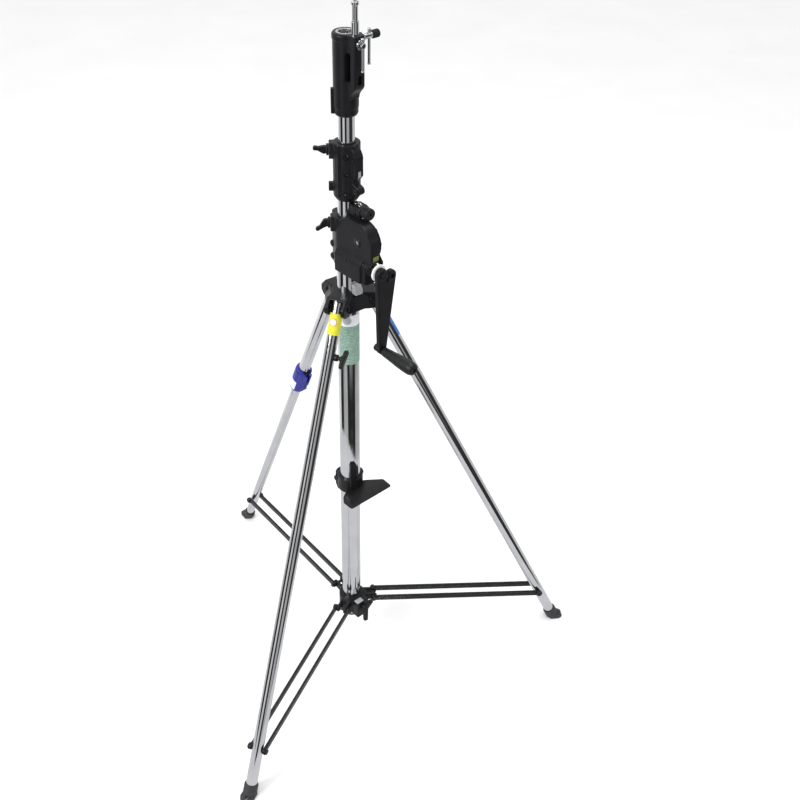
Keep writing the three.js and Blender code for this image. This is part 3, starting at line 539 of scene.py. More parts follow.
def column_label(split):
    """White above the split height, sea green below it, with faint rules of small print."""
    look = Finish("column_label_vinyl")
    below = look.math("LESS_THAN", look.height(), split * MM)
    cloud = look.noise(14, 4)
    green = look.ramp(cloud, (0.3, (0.115, 0.235, 0.175)), (0.7, (0.160, 0.300, 0.235)))
    green = printed_rules(look, 4.2, 0.42, green, (0.42, 0.55, 0.49))
    white = look.ramp(cloud, (0.3, (0.66, 0.67, 0.74)), (0.7, (0.78, 0.79, 0.84)))
    look.colour(look.mix(below, white, green))
    look.rough(look.spread(look.noise(8, 4), 0.3, 0.7, 0.45, 0.60))
    look.bump(look.noise(5, 3), 0.06, 0.4)
    return look.done()


def vinyl(name, dark, light, ink=None):
    look = Finish(name)
    base = look.ramp(look.noise(9, 4), (0.3, dark), (0.7, light))
    if ink:
        base = printed_rules(look, 3.4, 0.4, base, ink)
    look.colour(base)
    look.rough(look.spread(look.noise(6, 4), 0.3, 0.7, 0.55, 0.70))
    look.sheen(0.2)
    look.bump(look.noise(4, 3), 0.05, 0.4)
    return look.done()


def grey_rubber():
    look = Finish("grey_moulded_rubber")
    look.colour(look.ramp(look.noise(10, 4), (0.3, (0.026, 0.026, 0.028)), (0.7, (0.042, 0.042, 0.044))))
    look.rough(look.spread(look.noise(4, 5), 0.3, 0.7, 0.55, 0.75))
    look.bump(look.noise(0.8, 2), 0.08, 0.3)
    return look.done()


# Grey zinc finish: the cable guide's own colour, and on the yoke wedge a painted highlight.
def grey_steel_and_highlight_finish():
    look = Finish("grey_steel_and_painted_highlight", metallic=0.4)
    look.colour(look.ramp(look.noise(4, 5), (0.3, (0.36, 0.37, 0.37)), (0.7, (0.52, 0.53, 0.53))))
    look.rough(look.spread(look.noise(2, 5), 0.3, 0.7, 0.45, 0.65))
    look.bump(look.noise(1.2, 3), 0.1, 0.4)
    return look.done()


GREY_RUBBER = grey_rubber()
GREY_STEEL_AND_HIGHLIGHT = grey_steel_and_highlight_finish()
FINISHES = {
    "chrome": chrome(),
    "cast_black": cast_black(),
    "black_plastic": black_plastic(),
    "blue_plastic": blue_plastic(),
    "white_plastic": white_plastic(),
    "painted_steel": painted_steel(),
    "bare_steel": bare_steel(),
    "bronze": bronze(),
}


# ---- pieces ----------------------------------------------------------------------------------
SHARP = math.radians(38)


def piece(name, body_solid, rides, slot, stands_for=(), place=Matrix.Identity(4), material=None):
    """Names a finished solid, puts it in the frame in metres and gives it its finish."""
    mesh = body_solid.data
    mesh.transform(Matrix.Scale(MM, 4) @ Matrix.Translation(AXIS) @ place)
    mesh.shade_smooth()
    mesh.set_sharp_from_angle(angle=SHARP)
    mesh.materials.clear()
    mesh.materials.append(material or FINISHES[slot])
    body_solid.name = name
    mesh.name = name
    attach(body_solid, rides)
    if stands_for:
        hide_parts(*stands_for)
    return body_solid


def wrap(radius, z0, z1, start, end, corner=4.0, thickness=STICKER, steps=64):
    """A label laid round a tube between two azimuths, with rounded corners."""
    corners, faces = [], []
    half = math.radians(end - start) / 2 * radius
    for k in range(steps + 1):
        share = 0.5 - 0.5 * math.cos(math.pi * k / steps)
        angle = math.radians(start + (end - start) * share)
        inside = half - abs(share - 0.5) * 2 * half
        drop = corner - math.sqrt(max(corner ** 2 - max(corner - inside, 0) ** 2, 0)) if inside < corner else 0
        for r in (radius + 0.02, radius + thickness):
            for z in (z0 + drop, z1 - drop):
                corners.append((r * math.cos(angle), r * math.sin(angle), z))
    for k in range(steps):
        a, b = 4 * k, 4 * k + 4
        faces += [[a, a + 1, b + 1, b], [a + 2, b + 2, b + 3, a + 3], [a, b, b + 2, a + 2], [a + 1, a + 3, b + 3, b + 1]]
    last = 4 * steps
    faces += [[0, 2, 3, 1], [last, last + 1, last + 3, last + 2]]
    return solid(corners, faces)


def round_label(radius, z, azimuth, size):
    """A round label of the given radius laid on a tube."""
    reach = math.degrees(size / radius)
    return wrap(radius, z - size, z + size, azimuth - reach, azimuth + reach, corner=size)


def standing_tube(name, node, rides):
    radius, bottom, top = upright(node)
    piece(name, ring(radius, radius - TUBE_WALL, bottom, top), rides, "chrome", [node])


def standing_ring(name, node, rides, slot, clearance_of):
    """A bush that fills the space between its own outside and the tube that runs in it."""
    radius, bottom, top = upright(node)
    bore = upright(clearance_of)[0] + GAP
    piece(name, ring(radius, bore, bottom, top, rim=0.6), rides, slot, [node])


def column():
    standing_tube("column_tube_plated", "column_tube", "column")
    radius, bottom, top = upright("column_end_cap")
    plug = radius - TUBE_WALL - GAP
    rim = bottom + 7.7
    cap = lathe([(0, bottom), (radius - 2, bottom), (radius, bottom + 3), (radius, rim), (plug, rim),
                 (plug, top), (0, top)], 0.8)
    piece("column_end_plug", cap, "column", "black_plastic", ["column_end_cap"])
    label = wrap(upright("column_tube")[0], 937, 1071, -146, 34)
    piece("column_label", label, "column", None, material=column_label(1042))
    mark = round_label(upright("column_tube")[0] + STICKER, 1058, -103, 10.5)
    grey = vinyl("grey_mark_vinyl", (0.30, 0.32, 0.36), (0.40, 0.42, 0.46))
    piece("column_label_disc", mark, "column", None, material=grey)


def bracket():
    """Collar with two clamping ears, a stop block in front and a flat plate for the folded legs."""
    low, high = box("carry_bracket")
    bottom, post_top = low.z, high.z
    plate_z = bottom + 40
    top = plate_z + 28
    bolt_z = plate_z - 4
    tube = upright("column_tube")[0]
    plate = eased([(20, -28), (36, -54), (52, -66), (83, -66), (83, 66), (50, 68), (20, 28)], 7, steps=6)
    ears = [(-tube - 1, top), (-38, top), (-46, top - 14), (-46, bottom + 14), (-38, bottom), (-tube - 1, bottom)]
    post = block(tube - 4, tube + 10, -8.5, 8.5, plate_z - 12, post_top, rim=1.5)
    collar = join(
        rod_z(tube + 7, plate_z - 12, top, rim=1.5),
        slab(eased(ears, 3), "XZ", -12, 12, rim=2),
        rod_y(9, tube - 4, tube + 13, z=plate_z + 17, rim=1.5),
        placed(post, about_z(-26)),
    )
    soften(collar, 0.9, 5)
    collar = join(collar, slab(plate, "XY", plate_z, plate_z + 3, rim=0.9))
    cut(
        collar,
        rod_z(tube + GAP, bottom - 9, post_top + 9, segments=96),
        block(-60, -10, -2.5, 2.5, bottom - 5, top + 5, rim=0),
        rod_y(4.3, -20, 20, x=-38, z=bolt_z),
        rod_y(3.4, tube + 8, tube + 20, z=plate_z + 17),
    )
    piece("carry_bracket_painted", collar, "column", "painted_steel", ["carry_bracket"], DRIVE)
    bolt = join(
        rod_y(4, -19, 21, x=-38, z=bolt_z),
        rod_y(8, 12 + GAP, 18, x=-38, z=bolt_z, segments=6, rim=0.9),
        rod_y(8, -18, -12 - GAP, x=-38, z=bolt_z, segments=6, rim=0.9),
    )
    piece("bracket_clamp_bolt", bolt, "column", "painted_steel", ["bracket_bolt"], DRIVE)


# ---- legs ------------------------------------------------------------------------------------
def leg_casting():
    """Three forked arms on a ring, with a six-sided web between them and a peg below in front."""
    low, high = box("leg_casting")
    peg_bottom, top = low.z, high.z
    bottom = peg_bottom + 14
    half = 25
    slot = 16
    azimuths = [joint_azimuth(f"leg_{letter}_fold") for letter in LETTERS]
    profile = [(27, bottom), (44, bottom), (64, bottom + 2), (74, bottom + 12), (74, top - 18), (57, top), (27, top)]
    web = placed(turned([(0, top - 34), (60, top - 34), (46, top - 4), (0, top - 4)], 6), about_z(30))
    peg = placed(block(24, 36, -6, 6, peg_bottom, bottom + 6, rim=1), about_z(-100))
    body = join(rod_z(36, bottom, top, rim=2), web, peg)
    for azimuth in azimuths:
        body = join(body, placed(slab(profile, "XZ", -half, half, rim=2), about_z(azimuth)))
    for azimuth in azimuths:
        turn = about_z(azimuth)
        cut(
            body,
            placed(block(32.5, 90, -slot, slot, bottom - 10, top - 4, rim=0), turn),
            placed(block(60, 90, -slot, slot, top - 30, top + 5, rim=0), turn),
        )
    soften(body, 0.95, 5)
    for azimuth in azimuths:
        turn = about_z(azimuth)
        cut(body, placed(rod_y(4.3, -40, 40, x=LEG_PIVOT.x, z=LEG_PIVOT.z), turn))
        for side in (-1, 1):
            ends = sorted((side * half, side * (half + 10)))
            cut(body, placed(rod_y(7, *ends, x=LEG_PIVOT.x, z=LEG_PIVOT.z, rim=0), turn))
    cut(body, rod_z(upright("column_tube")[0] + GAP, peg_bottom - 10, top + 20, segments=96))
    piece("leg_yoke", body, "column", "cast_black", ["leg_casting"])
    # Sloping wedge on the top of the yoke, standing for a web facet; its light grey is a painted highlight, the
    # light mirrored off that facet.
    highlight_facet = slab([(26.5, top), (41, top), (41, top + 10), (33, top + 23), (26.5, top + 23)], "XZ", -10, 10, rim=1)
    piece("leg_yoke_painted_highlight", highlight_facet, "column", "bare_steel", place=about_z(-57), material=GREY_STEEL_AND_HIGHLIGHT)
    for letter, azimuth in zip(LETTERS, azimuths):
        leg_pin(letter, azimuth, half)


def leg_pin(letter, azimuth, half):
    pin = join(
        rod_y(4, -half - 3, half + 3, x=LEG_PIVOT.x, z=LEG_PIVOT.z),
        rod_y(6.4, half + GAP, half + 3.5, x=LEG_PIVOT.x, z=LEG_PIVOT.z, segments=6, rim=0.8),
        rod_y(6, -half - 3.5, -half - GAP, x=LEG_PIVOT.x, z=LEG_PIVOT.z, rim=1.4),
    )
    piece(f"leg_pivot_bolt_{letter}", pin, "column", "painted_steel", [f"leg_pin_{letter}"], about_z(azimuth))


def leg_tube(name, node, rides, letter, radius, start, end, pivot_hole=True):
    body = ring(radius, radius - TUBE_WALL, start, end)
    if pivot_hole:
        cut(body, rod_y(4.3, -30, 30))
    piece(name, body, rides, "chrome", [node], leg_place(letter))


def foot(letter, rides, tube_radius):
    """A moulded shoe round the tube end, cut flat on the floor, with a broad drilled tongue pointing out."""
    down = Vector((math.sin(LEG_TILT), 0, -math.cos(LEG_TILT)))
    floor_point = Vector((FOOT_RADIUS, 0, 0))
    toe = FOOT_RADIUS + 25
    sleeve = rod(tube_radius + 3.5, floor_point - down * 32, floor_point + down * 18, rim=2)
    plan = [(FOOT_RADIUS - 12, -18), (FOOT_RADIUS + 14, -18), (toe, -12), (toe, 12), (FOOT_RADIUS + 14, 18),
            (FOOT_RADIUS - 12, 18)]
    body = join(sleeve, slab(eased(plan, 6), "XY", 0, 6, rim=1.2))
    cut(body, block(FOOT_RADIUS - 80, FOOT_RADIUS + 80, -40, 40, -60, 0, rim=0))
    soften(body, 0.8, 4)
    cut(
        body,
        block(FOOT_RADIUS - 80, FOOT_RADIUS + 80, -40, 40, -60, 0.02, rim=0),
        rod(tube_radius + GAP, floor_point - down * 74, floor_point - down * 12),
        rod_z(4, -5, 15, x=FOOT_RADIUS + 16),
    )
    azimuth = joint_azimuth(f"leg_{letter}_fold")
    piece(f"rubber_foot_{letter}", body, rides, "black_plastic", [f"foot_{letter}"], about_z(azimuth), GREY_RUBBER)


def strut_pin(letter, rides):
    """The part of the strut bolt that passes through the leg tube."""
    across = along_leg(STRUT_BOLT[1])
    pin = rod_y(4, -14.4, 14.4, z=across)
    piece(f"strut_bolt_shank_{letter}", pin, rides, "bare_steel", place=leg_place(letter))


def levelling_collar(along):
    """Moulded clamp at the foot of the levelling leg's upper tube, with a scooped mouth over its lever."""
    body = join(
        lathe([(0, -42), (19, -42), (21.5, -36), (21.5, 41), (19.5, 44), (0, 44)], 2.0),
        block(10, 27, -10, 10, -40, 10, rim=3),
    )
    body = soften(body, 0.8, 5)
    cut(
        body,
        rod_z(15 + GAP, -60, 18, segments=96),
        rod_z(12.5 + 1, 10, 60, segments=96),
        rod_x(10.5, 4, 40, z=-44),
        block(15.6, 34, -4.2, 4.2, -48, 14, rim=0),
        rod_y(3.3, -15, 15, x=23, z=-8),
        rod_x(2.6, -30, -10, z=-14),
    )
    down = Matrix.Translation((0, 0, along))
    piece("levelling_clamp", body, "leg_c", "blue_plastic", ["levelling_collar"], leg_place("c") @ down)
    insert = cut(ring(17.6, 15 + GAP, -40, -27), block(-30, 11, -30, 30, -50, 0, rim=0))
    piece("levelling_clamp_liner", insert, "leg_c", "black_plastic", place=leg_place("c") @ down)
    lever = join(
        slab(link(0, 0, 6, 3, 26, 3), "XZ", -3.6, 3.6, rim=1.2),
        slab(link(1.8, 22, 3.6, 3.4, 28, 3), "XZ", -5, 5, rim=1.3),
        rod_y(3, -10, 10),
    )
    lever = soften(lever, 0.5, 3)
    hinge = leg_place("c") @ Matrix.Translation((23, 0, along - 8))
    piece("levelling_clamp_lever", lever, "leg_c_lever", "blue_plastic", ["levelling_lever"], hinge)


def leg_knob(along):
    """T-shaped thumb screw on the side of leg A."""
    slant = Matrix.Rotation(math.radians(-30), 4, "Y")
    grip = join(
        rod_y(8, 0, 8, rim=1.2),
        rod_y(4.8, 6, 20),
        placed(slab(link(0, -15, 8, 0, 15, 8), "XZ", 17.5, 26.5, rim=2.5), slant),
        rod_y(7.5, 14, 26, rim=2),
    )
    grip = soften(grip, 0.6, 4)
    place = leg_place("a") @ Matrix.Translation((0, 14 + GAP, along))
    piece("leg_thumb_screw", grip, "leg_a_knob", "black_plastic", ["leg_knob"], place)


def legs():
    top = -10
    bottom = LEG_LENGTH - 14
    collar = along_leg(757)
    leg_casting()
    leg_tube("leg_a_plated", "leg_tube_a", "leg_a", "a", 14, top, bottom)
    leg_tube("leg_b_plated", "leg_tube_b", "leg_b", "b", 14, top, bottom)
    leg_tube("leg_c_outer_plated", "leg_c_upper", "leg_c", "c", 15, top, collar + 16)
    leg_tube("leg_c_inner_plated", "leg_c_lower", "leg_c_extension", "c", 12.5, collar - 300, bottom, False)
    for letter, rides, radius in (("a", "leg_a", 14), ("b", "leg_b", 14), ("c", "leg_c_extension", 12.5)):
        foot(letter, rides, radius)
        strut_pin(letter, rides)
    levelling_collar(collar)
    leg_knob(along_leg(1008))
    yellow = vinyl("yellow_label_vinyl", (0.60, 0.58, 0.035), (0.74, 0.70, 0.06))
    blue = vinyl("blue_label_vinyl", (0.022, 0.10, 0.36), (0.035, 0.14, 0.46), (0.16, 0.28, 0.58))
    white = vinyl("white_label_vinyl", (0.62, 0.63, 0.68), (0.76, 0.77, 0.80))
    band = wrap(14, along_leg(1097), along_leg(1053), 4, 356, corner=1.0)
    piece("leg_a_yellow_band", band, "leg_a", None, place=leg_place("a"), material=yellow)
    signs = vinyl("sign_red_vinyl", (0.42, 0.10, 0.07), (0.55, 0.14, 0.10))
    for number, (size, look) in enumerate(((8.6, signs), (7.6, white))):
        disc = round_label(14 + STICKER * (number + 1), along_leg(1079), 176, size)
        piece(f"leg_a_disc_{number}", disc, "leg_a", None, place=leg_place("a"), material=look)
    band = wrap(14, along_leg(1066), along_leg(999), 172, 226, corner=2.0)
    piece("leg_b_blue_label", band, "leg_b", None, place=leg_place("b"), material=blue)
    band = wrap(21.5, collar + 4, collar + 37, 62, 172, corner=2.0)
    piece("levelling_clamp_label", band, "leg_c", None, place=leg_place("c"), material=white)


# ---- sliding hub and struts ------------------------------------------------------------------
def hub_knob():
    """Thumb screw along X with two swept wings, seat face at the origin."""
    knob = join(
        rod_x(9, 0, 12, rim=1.5),
        slab(link(8.2, 0, 8, 19, 29, 6), "XZ", -4.5, 4.5, rim=1.5),
        slab(link(8.2, 0, 8, 19, -29, 6), "XZ", -4.5, 4.5, rim=1.5),
    )
    knob = join(soften(knob, 0.6, 4), rod_x(5, -20, 4))
    seat = DRIVE @ Matrix.Translation((50 + GAP, 0, HUB_PIVOT.z - HUB_KNOB_DROP))
    tilt = Matrix.Rotation(math.radians(-18), 4, "X")
    piece("hub_thumb_screw", knob, "hub_lock", "black_plastic", ["hub_knob"], seat @ tilt)


def hub():
    tube = upright("column_tube")[0]
    z = HUB_PIVOT.z
    lug_half = STRUT_SIDE - 4
    body = lathe([(0, z - 38), (32, z - 38), (34, z - 35), (34, z + 12), (31, z + 16), (0, z + 16)], 1.5)
    for letter in LETTERS:
        turn = about_z(joint_azimuth(f"struts_{letter}_fold"))
        body = join(body, placed(slab(link(20, z, 13, HUB_PIVOT.x, z, 10), "XZ", -lug_half, lug_half, rim=2), turn))
        body = cut(body, placed(block(40, 80, -7, 7, z - 30, z + 30, rim=0), turn))
    body = join(body, placed(block(20, 50, -20, 20, z - 42, z + 12, rim=3), DRIVE))
    body = soften(body, 0.95, 5)
    cut(
        body,
        rod_z(tube + GAP, z - 60, z + 40, segments=96),
        placed(rod_x(5.3, 20, 60, z=z - HUB_KNOB_DROP), DRIVE),
    )
    piece("hub_casting", body, "hub", "cast_black", ["hub_collar"])
    for letter in LETTERS:
        azimuth = joint_azimuth(f"struts_{letter}_fold")
        pin = join(
            rod_y(4, -STRUT_SIDE - 8, STRUT_SIDE + 8, x=HUB_PIVOT.x, z=z),
            rod_y(7, STRUT_SIDE + 3.6, STRUT_SIDE + 8, x=HUB_PIVOT.x, z=z, segments=6, rim=0.8),
            rod_y(7, -STRUT_SIDE - 7.5, -STRUT_SIDE - 3.6, x=HUB_PIVOT.x, z=z, rim=1.6),
        )
        piece(f"hub_bolt_{letter}", pin, "hub", "painted_steel", place=about_z(azimuth))
    hub_knob()
    plate = block(33, 48, -19, 3, z + 11.6, z + 12.6, rim=0.3)
    grey = vinyl("grey_rating_plate", (0.30, 0.31, 0.31), (0.42, 0.43, 0.43))
    piece("hub_plate", plate, "hub", None, place=DRIVE, material=grey)


def strut(letter, name, side):
    """A flat bar with a drilled round end at the hub and a bolted end at the leg."""
    run = STRUT_BOLT[0] - HUB_PIVOT.x
    drop = HUB_PIVOT.z - STRUT_BOLT[1]
    length = math.hypot(run, drop)
    low, high = sorted((side * (STRUT_SIDE - 3), side * (STRUT_SIDE + 3.2)))
    bar = cut(slab(link(0, 0, 8, length, 0, 8), "XZ", low, high, rim=1.1), rod_y(4.4, -60, 60))
    outer = side * (STRUT_SIDE + 3.2)
    head = join(
        rod_y(9, outer - side * 0.5, outer + side * 1.4, x=length),
        rod_y(7.4, outer, outer + side * 5, x=length, rim=2.4) if side < 0 else
        rod_y(7.6, outer, outer + side * 5.4, x=length, rim=0.8, segments=6),
    )
    join(bar, head)
    lean = Matrix.Rotation(math.atan2(drop, run), 4, "Y")
    place = about_z(joint_azimuth(f"struts_{letter}_fold")) @ Matrix.Translation(HUB_PIVOT) @ lean
    node = f"strut_{letter}_{name}"
    piece(f"{node}_bar", bar, f"struts_{letter}", "painted_steel", [node], place)


def struts():
    for letter in LETTERS:
        strut(letter, "left", 1)
        strut(letter, "right", -1)


# ---- levers ----------------------------------------------------------------------------------
def lever_boss(z):
    """Six-sided boss that carries a wing lever, in the drive frame."""
    turn = DRIVE.inverted() @ about_z(LEVER_AZIMUTH)
    return placed(rod_x(20, 18, LEVER_SEAT_R, z=z, rim=1.5, segments=6), turn)


def lever_hole(z):
    turn = DRIVE.inverted() @ about_z(LEVER_AZIMUTH)
    return placed(rod_x(4.4, LEVER_SEAT_R - 13, LEVER_SEAT_R + 20, z=z), turn)


def wing_lever(name, node, rides, joint_name, tip_x, tip_z):
    """A winged lever on a flange; its thin waist swells again to a rounded tip."""
    lever = join(
        rod_x(12.5, 0, 5, rim=1.5),
        slab(link(9, 0, 8.5, tip_x - 7, tip_z * 0.7, 4), "XZ", -5, 5, rim=1.5),
        slab(link(tip_x - 9, tip_z * 0.65, 3.6, tip_x, tip_z, 4.5), "XZ", -4.8, 4.8, rim=1.6),
    )
    lever = join(soften(lever, 0.6, 4), rod_x(4, -11, 4))
    place = about_z(LEVER_AZIMUTH) @ Matrix.Translation((LEVER_SEAT_R + GAP, 0, joint_place(joint_name).z))
    piece(name, lever, rides, "cast_black", [node], place)


# ---- winch -----------------------------------------------------------------------------------
BARREL_R = 28.5
EAR = (-31, 13.5)                # place and radius of the clamping ears
CASE_R = 45
CASE_FRONT = -28.5
CASE_BACK = -4.3
TUNNEL_R = 20
TUNNEL_END = 83
BEARING_END = 96
ANCHOR_ENDS = (22.5, 56)
TENSION_Z = 1340


def tunnel(radius, x0, x1, bottom):
    """The worm tunnel: flat below, half round above."""
    outline = [(WORM.y - radius, bottom), (WORM.y + radius, bottom)] + arc(WORM.y, WORM.z, radius, 0, 180, 28)
    return slab(outline, "YZ", x0, x1, rim=1.2)


def gearbox(bottom=1190, top=1312):
    """Barrel with clamping ears behind, flat wheel case in front and the worm tunnel across its foot."""
    column_radius, _, column_top = upright("column_tube")
    x, z = WHEEL.x, WHEEL.z
    case = [(0, bottom), (BEARING_END, bottom), (BEARING_END, WORM.z), (x + CASE_R, z - 34)]
    case += arc(x, z, CASE_R, 0, 90, 28)
    case += [(27, z + CASE_R), (6, top), (0, top)]
    ear_x, ear_r = EAR
    ear_screws = (bottom + 13, bottom + 44)
    lever_z = joint_place("gearbox_lever_turn").z
    body = join(
        slab(link(0, 0, BARREL_R, ear_x, 0, ear_r), "XY", bottom, top, rim=2),
        slab(case, "XZ", CASE_FRONT, CASE_BACK, rim=2.2),
        tunnel(TUNNEL_R, -2, TUNNEL_END, bottom),
        tunnel(TUNNEL_R - 4, TUNNEL_END - 3, BEARING_END, bottom),
        rod_y(9, CASE_FRONT - 2, CASE_FRONT + 1, x=x, z=z, rim=1.0),
        lever_boss(lever_z),
        *[rod_y(8.5, -17, 17, x=ear_x - 2, z=height, rim=2) for height in ear_screws],
    )
    body = soften(body, 1.0, 4)
    shoulder = column_top + GAP
    screw = Vector((35, WORM.y - TUNNEL_R, WORM.z + 3))
    cut(
        body,
        rod_z(column_radius + GAP, bottom - 10, shoulder, segments=96, rim=0),
        rod_z(column_radius - TUBE_WALL, shoulder - 5, top + 40, segments=96, rim=0),
        rod_y(CASE_R - 3, WORM.y - 5, CASE_BACK + 20, x=x, z=z, segments=72),
        rod_x(14, 40, 110, y=WORM.y, z=WORM.z),
        rod_x(6.4, 30, 60, y=WORM.y, z=WORM.z),
        rod_x(16.5, BEARING_END, 112, y=WORM.y, z=WORM.z),
        rod_y(5.3, CASE_FRONT - 10, CASE_FRONT + 10, x=x, z=z),
        block(-60, -20, -1.5, 1.5, bottom - 10, top + 40, rim=0),
        block(BARREL_R, 120, CASE_BACK, 10, z - CASE_R - GAP, z + CASE_R + 10, rim=0),
        lever_hole(lever_z),
        rod_y(5, screw.y - 5, screw.y + 2.2, x=screw.x, z=screw.z),
    )
    piece("winch_case", body, "column", "cast_black", ["gearbox_body"], DRIVE)
    worm_screw = cap_screw(4.6, 3, screw + Vector((0, 8, 0)), screw + Vector((0, 0.6, 0)))
    piece("winch_worm_screw", worm_screw, "column", "painted_steel", place=DRIVE)
    for height in ear_screws:
        screw = cap_screw(5, 4, (ear_x - 2, 8, height), (ear_x - 2, -18, height))
        piece(f"winch_ear_screw_{height:.0f}", screw, "column", "painted_steel", place=DRIVE)
    patch = block(BEARING_END + 14.8, BEARING_END + 15.3, -24, -8, z - 30, z - 19, rim=0.2)
    olive = vinyl("olive_mark_vinyl", (0.12, 0.13, 0.03), (0.22, 0.23, 0.05))
    piece("winch_side_mark", patch, "column", None, place=DRIVE, material=olive)


def gearbox_cover():
    y0 = CASE_BACK + GAP
    x, z = WHEEL.x, WHEEL.z
    disc = slab(arc(x, z, CASE_R, 0, 355, 71), "XZ", y0, y0 + 4, rim=1)
    lug = slab(link(x, z, 20, x + 44, z - 37, 7), "XZ", y0, y0 + 4, rim=1)
    pan = rod_y(31, y0 + 3, y0 + 5.2, x=x, z=z, rim=1, segments=72)
    body = join(disc, lug, pan)
    cut(
        body,
        rod_y(26, y0 + 4.4, y0 + 9, x=x, z=z, segments=72),
        rod_y(5.3, y0 - 10, y0 + 20, x=x, z=z),
        rod_z(BARREL_R + 1, 1200, 1400, segments=96),
    )
    piece("winch_cover", body, "column", "cast_black", ["gearbox_cover"], DRIVE)
    screws = [(x + 39 * math.cos(math.radians(a)), z + 39 * math.sin(math.radians(a))) for a in (-100, 5, 50, 100)]
    screws.append((x + 44, z - 37))
    for number, (screw_x, screw_z) in enumerate(screws):
        screw = cap_screw(3.6, 3, (screw_x, y0 + 1, screw_z), (screw_x, y0 + 7, screw_z))
        piece(f"cover_screw_{number}", screw, "column", "bare_steel", place=DRIVE)


def gearbox_small_parts():
    standing_ring("winch_bush", "gearbox_bush", "column", "black_plastic", "riser_1_tube")
    profile = [(6.4, 84), (13.6, 84), (13.6, 96.3), (15.5, 96.3), (15.5, 100.5), (10.5, 104), (6.4, 104)]
    cap = placed(lathe(profile, 0.7), between((0, WORM.y, WORM.z), (1, WORM.y, WORM.z)))
    piece("worm_bearing_cap", cap, "column", "cast_black", ["bearing_cap"], DRIVE)
    low, high = box("cable_thimble")
    loop = placed(torus(4, 1.2), Matrix.Rotation(math.pi / 2, 4, "X"))
    centre = DRIVE.inverted() @ ((low + high) / 2)
    piece("cable_eye", loop, "column", "chrome", ["cable_thimble"], DRIVE @ Matrix.Translation(centre))
    low, high = box("cable_anchor_block")
    bottom, top = low.z, high.z
    start, end = ANCHOR_ENDS
    profile = eased([(start, bottom), (end, bottom), (end, top - 3), (end - 9, top), (start + 4, top),
                     (start, top - 6)], 2.5)
    anchor = slab(profile, "XZ", -14, 14, rim=1.8)
    cut(
        anchor,
        rod_x(5, end - 14, end + 7, z=TENSION_Z),
        rod_z(3, top - 10, top + 10, x=31),
        rod_y(3.2, -20, -11, x=end - 12, z=top - 17),
    )
    piece("cable_anchor", anchor, "column", "cast_black", ["cable_anchor_block"], DRIVE)
    pin = join(rod_z(2.6, top - 6, top + 3, x=31), rod_z(5.6, top + 0.2, top + 3.4, x=31, rim=1))
    piece("cable_anchor_pin", pin, "column", "chrome", place=DRIVE)
    barrel = join(rod_x(13, end + GAP, end + 20, z=TENSION_Z, rim=1.8), rod_x(4.5, end - 9, end + 3, z=TENSION_Z))
    flutes = 14
    for k in range(flutes):
        angle = 2 * math.pi * k / flutes
        y, z = 13.6 * math.cos(angle), TENSION_Z + 13.6 * math.sin(angle)
        cut(barrel, rod_x(1.5, end + 4, end + 17, y=y, z=z, segments=16))
    cut(barrel, socket(3, (end + 16, 0, TENSION_Z), (end + 24, 0, TENSION_Z)))
    piece("cable_tension_knob", barrel, "column", "black_plastic", ["cable_tension_barrel"], DRIVE)


# ---- crank -----------------------------------------------------------------------------------
def crank():
    x0, x1 = 123, 135
    end = (CRANK_END.y - WORM.y, CRANK_END.z - WORM.z)
    place = DRIVE @ Matrix.Translation((0, WORM.y, WORM.z))
    body = join(
        slab(link(0, 0, 14, *end, 10), "YZ", x0, x1, rim=1.8),
        slab(link(26, -10, 13, *end, 10), "YZ", x0, x1, rim=1.8),
        slab([(0, 0), end, (26, -10)], "YZ", x0, x1, rim=0),
        rod_x(11, x1 - 2, x1 + 2, rim=1.2),
        rod_x(10, x1 - 2, x1 + 2, y=26, z=-10, rim=1.2),
    )
    body = soften(body, 0.75, 4)
    cut(
        body,
        slab(link(13.5, 10, 1.6, 13, -20, 2.4), "YZ", x0 - 5, x1 + 5, rim=0),
        rod_x(6 + GAP, x0 - 5, x1 + 8),
        rod_x(5.2, x1 - 4, x1 + 8, y=26, z=-10),
        rod_x(4.3, x0 - 5, x1 + 8, y=end[0], z=end[1]),
    )
    piece("crank_handle_arm", body, "crank", "cast_black", ["crank_arm"], place)
    washer = placed(ring(19, 6 + GAP, 119, 123 - GAP, rim=0.8), Matrix.Rotation(math.pi / 2, 4, "Y"))
    piece("crank_friction_washer", washer, "crank", "white_plastic", ["crank_washer"], place)
    screw = rod_x(9, x1 + 4.5, x1 + 7, rim=1.0)
    cut(screw, socket(3.2, (x1 + 5.2, 0, 0), (x1 + 9, 0, 0)))
    piece("crank_retaining_screw", screw, "crank", "cast_black", ["crank_screw"], place)
    tip = place @ Matrix.Translation((0, *end))
    pin = join(rod_x(4, 113, x1 + 98), rod_x(9, 111, 123 - GAP, rim=2.2))
    piece("crank_grip_pin", pin, "crank", "black_plastic", ["crank_pin"], tip)
    start = x1 + 2
    profile = [(4.4, start), (9, start), (10.5, start + 2), (12.5, start + 30), (14.8, start + 56),
               (15.5, start + 72), (15.5, start + 88), (13, start + 96), (9, start + 99), (4.4, start + 99)]
    grip = placed(lathe(profile, 2.2), Matrix.Rotation(math.pi / 2, 4, "Y"))
    piece("crank_handle_grip", grip, "grip", "black_plastic", ["crank_grip"], tip)


# ---- risers ----------------------------------------------------------------------------------
CLAMP_FACE_AZIMUTH = -42         # flat face with the set screws, in the drive frame
HUMP_END = 42


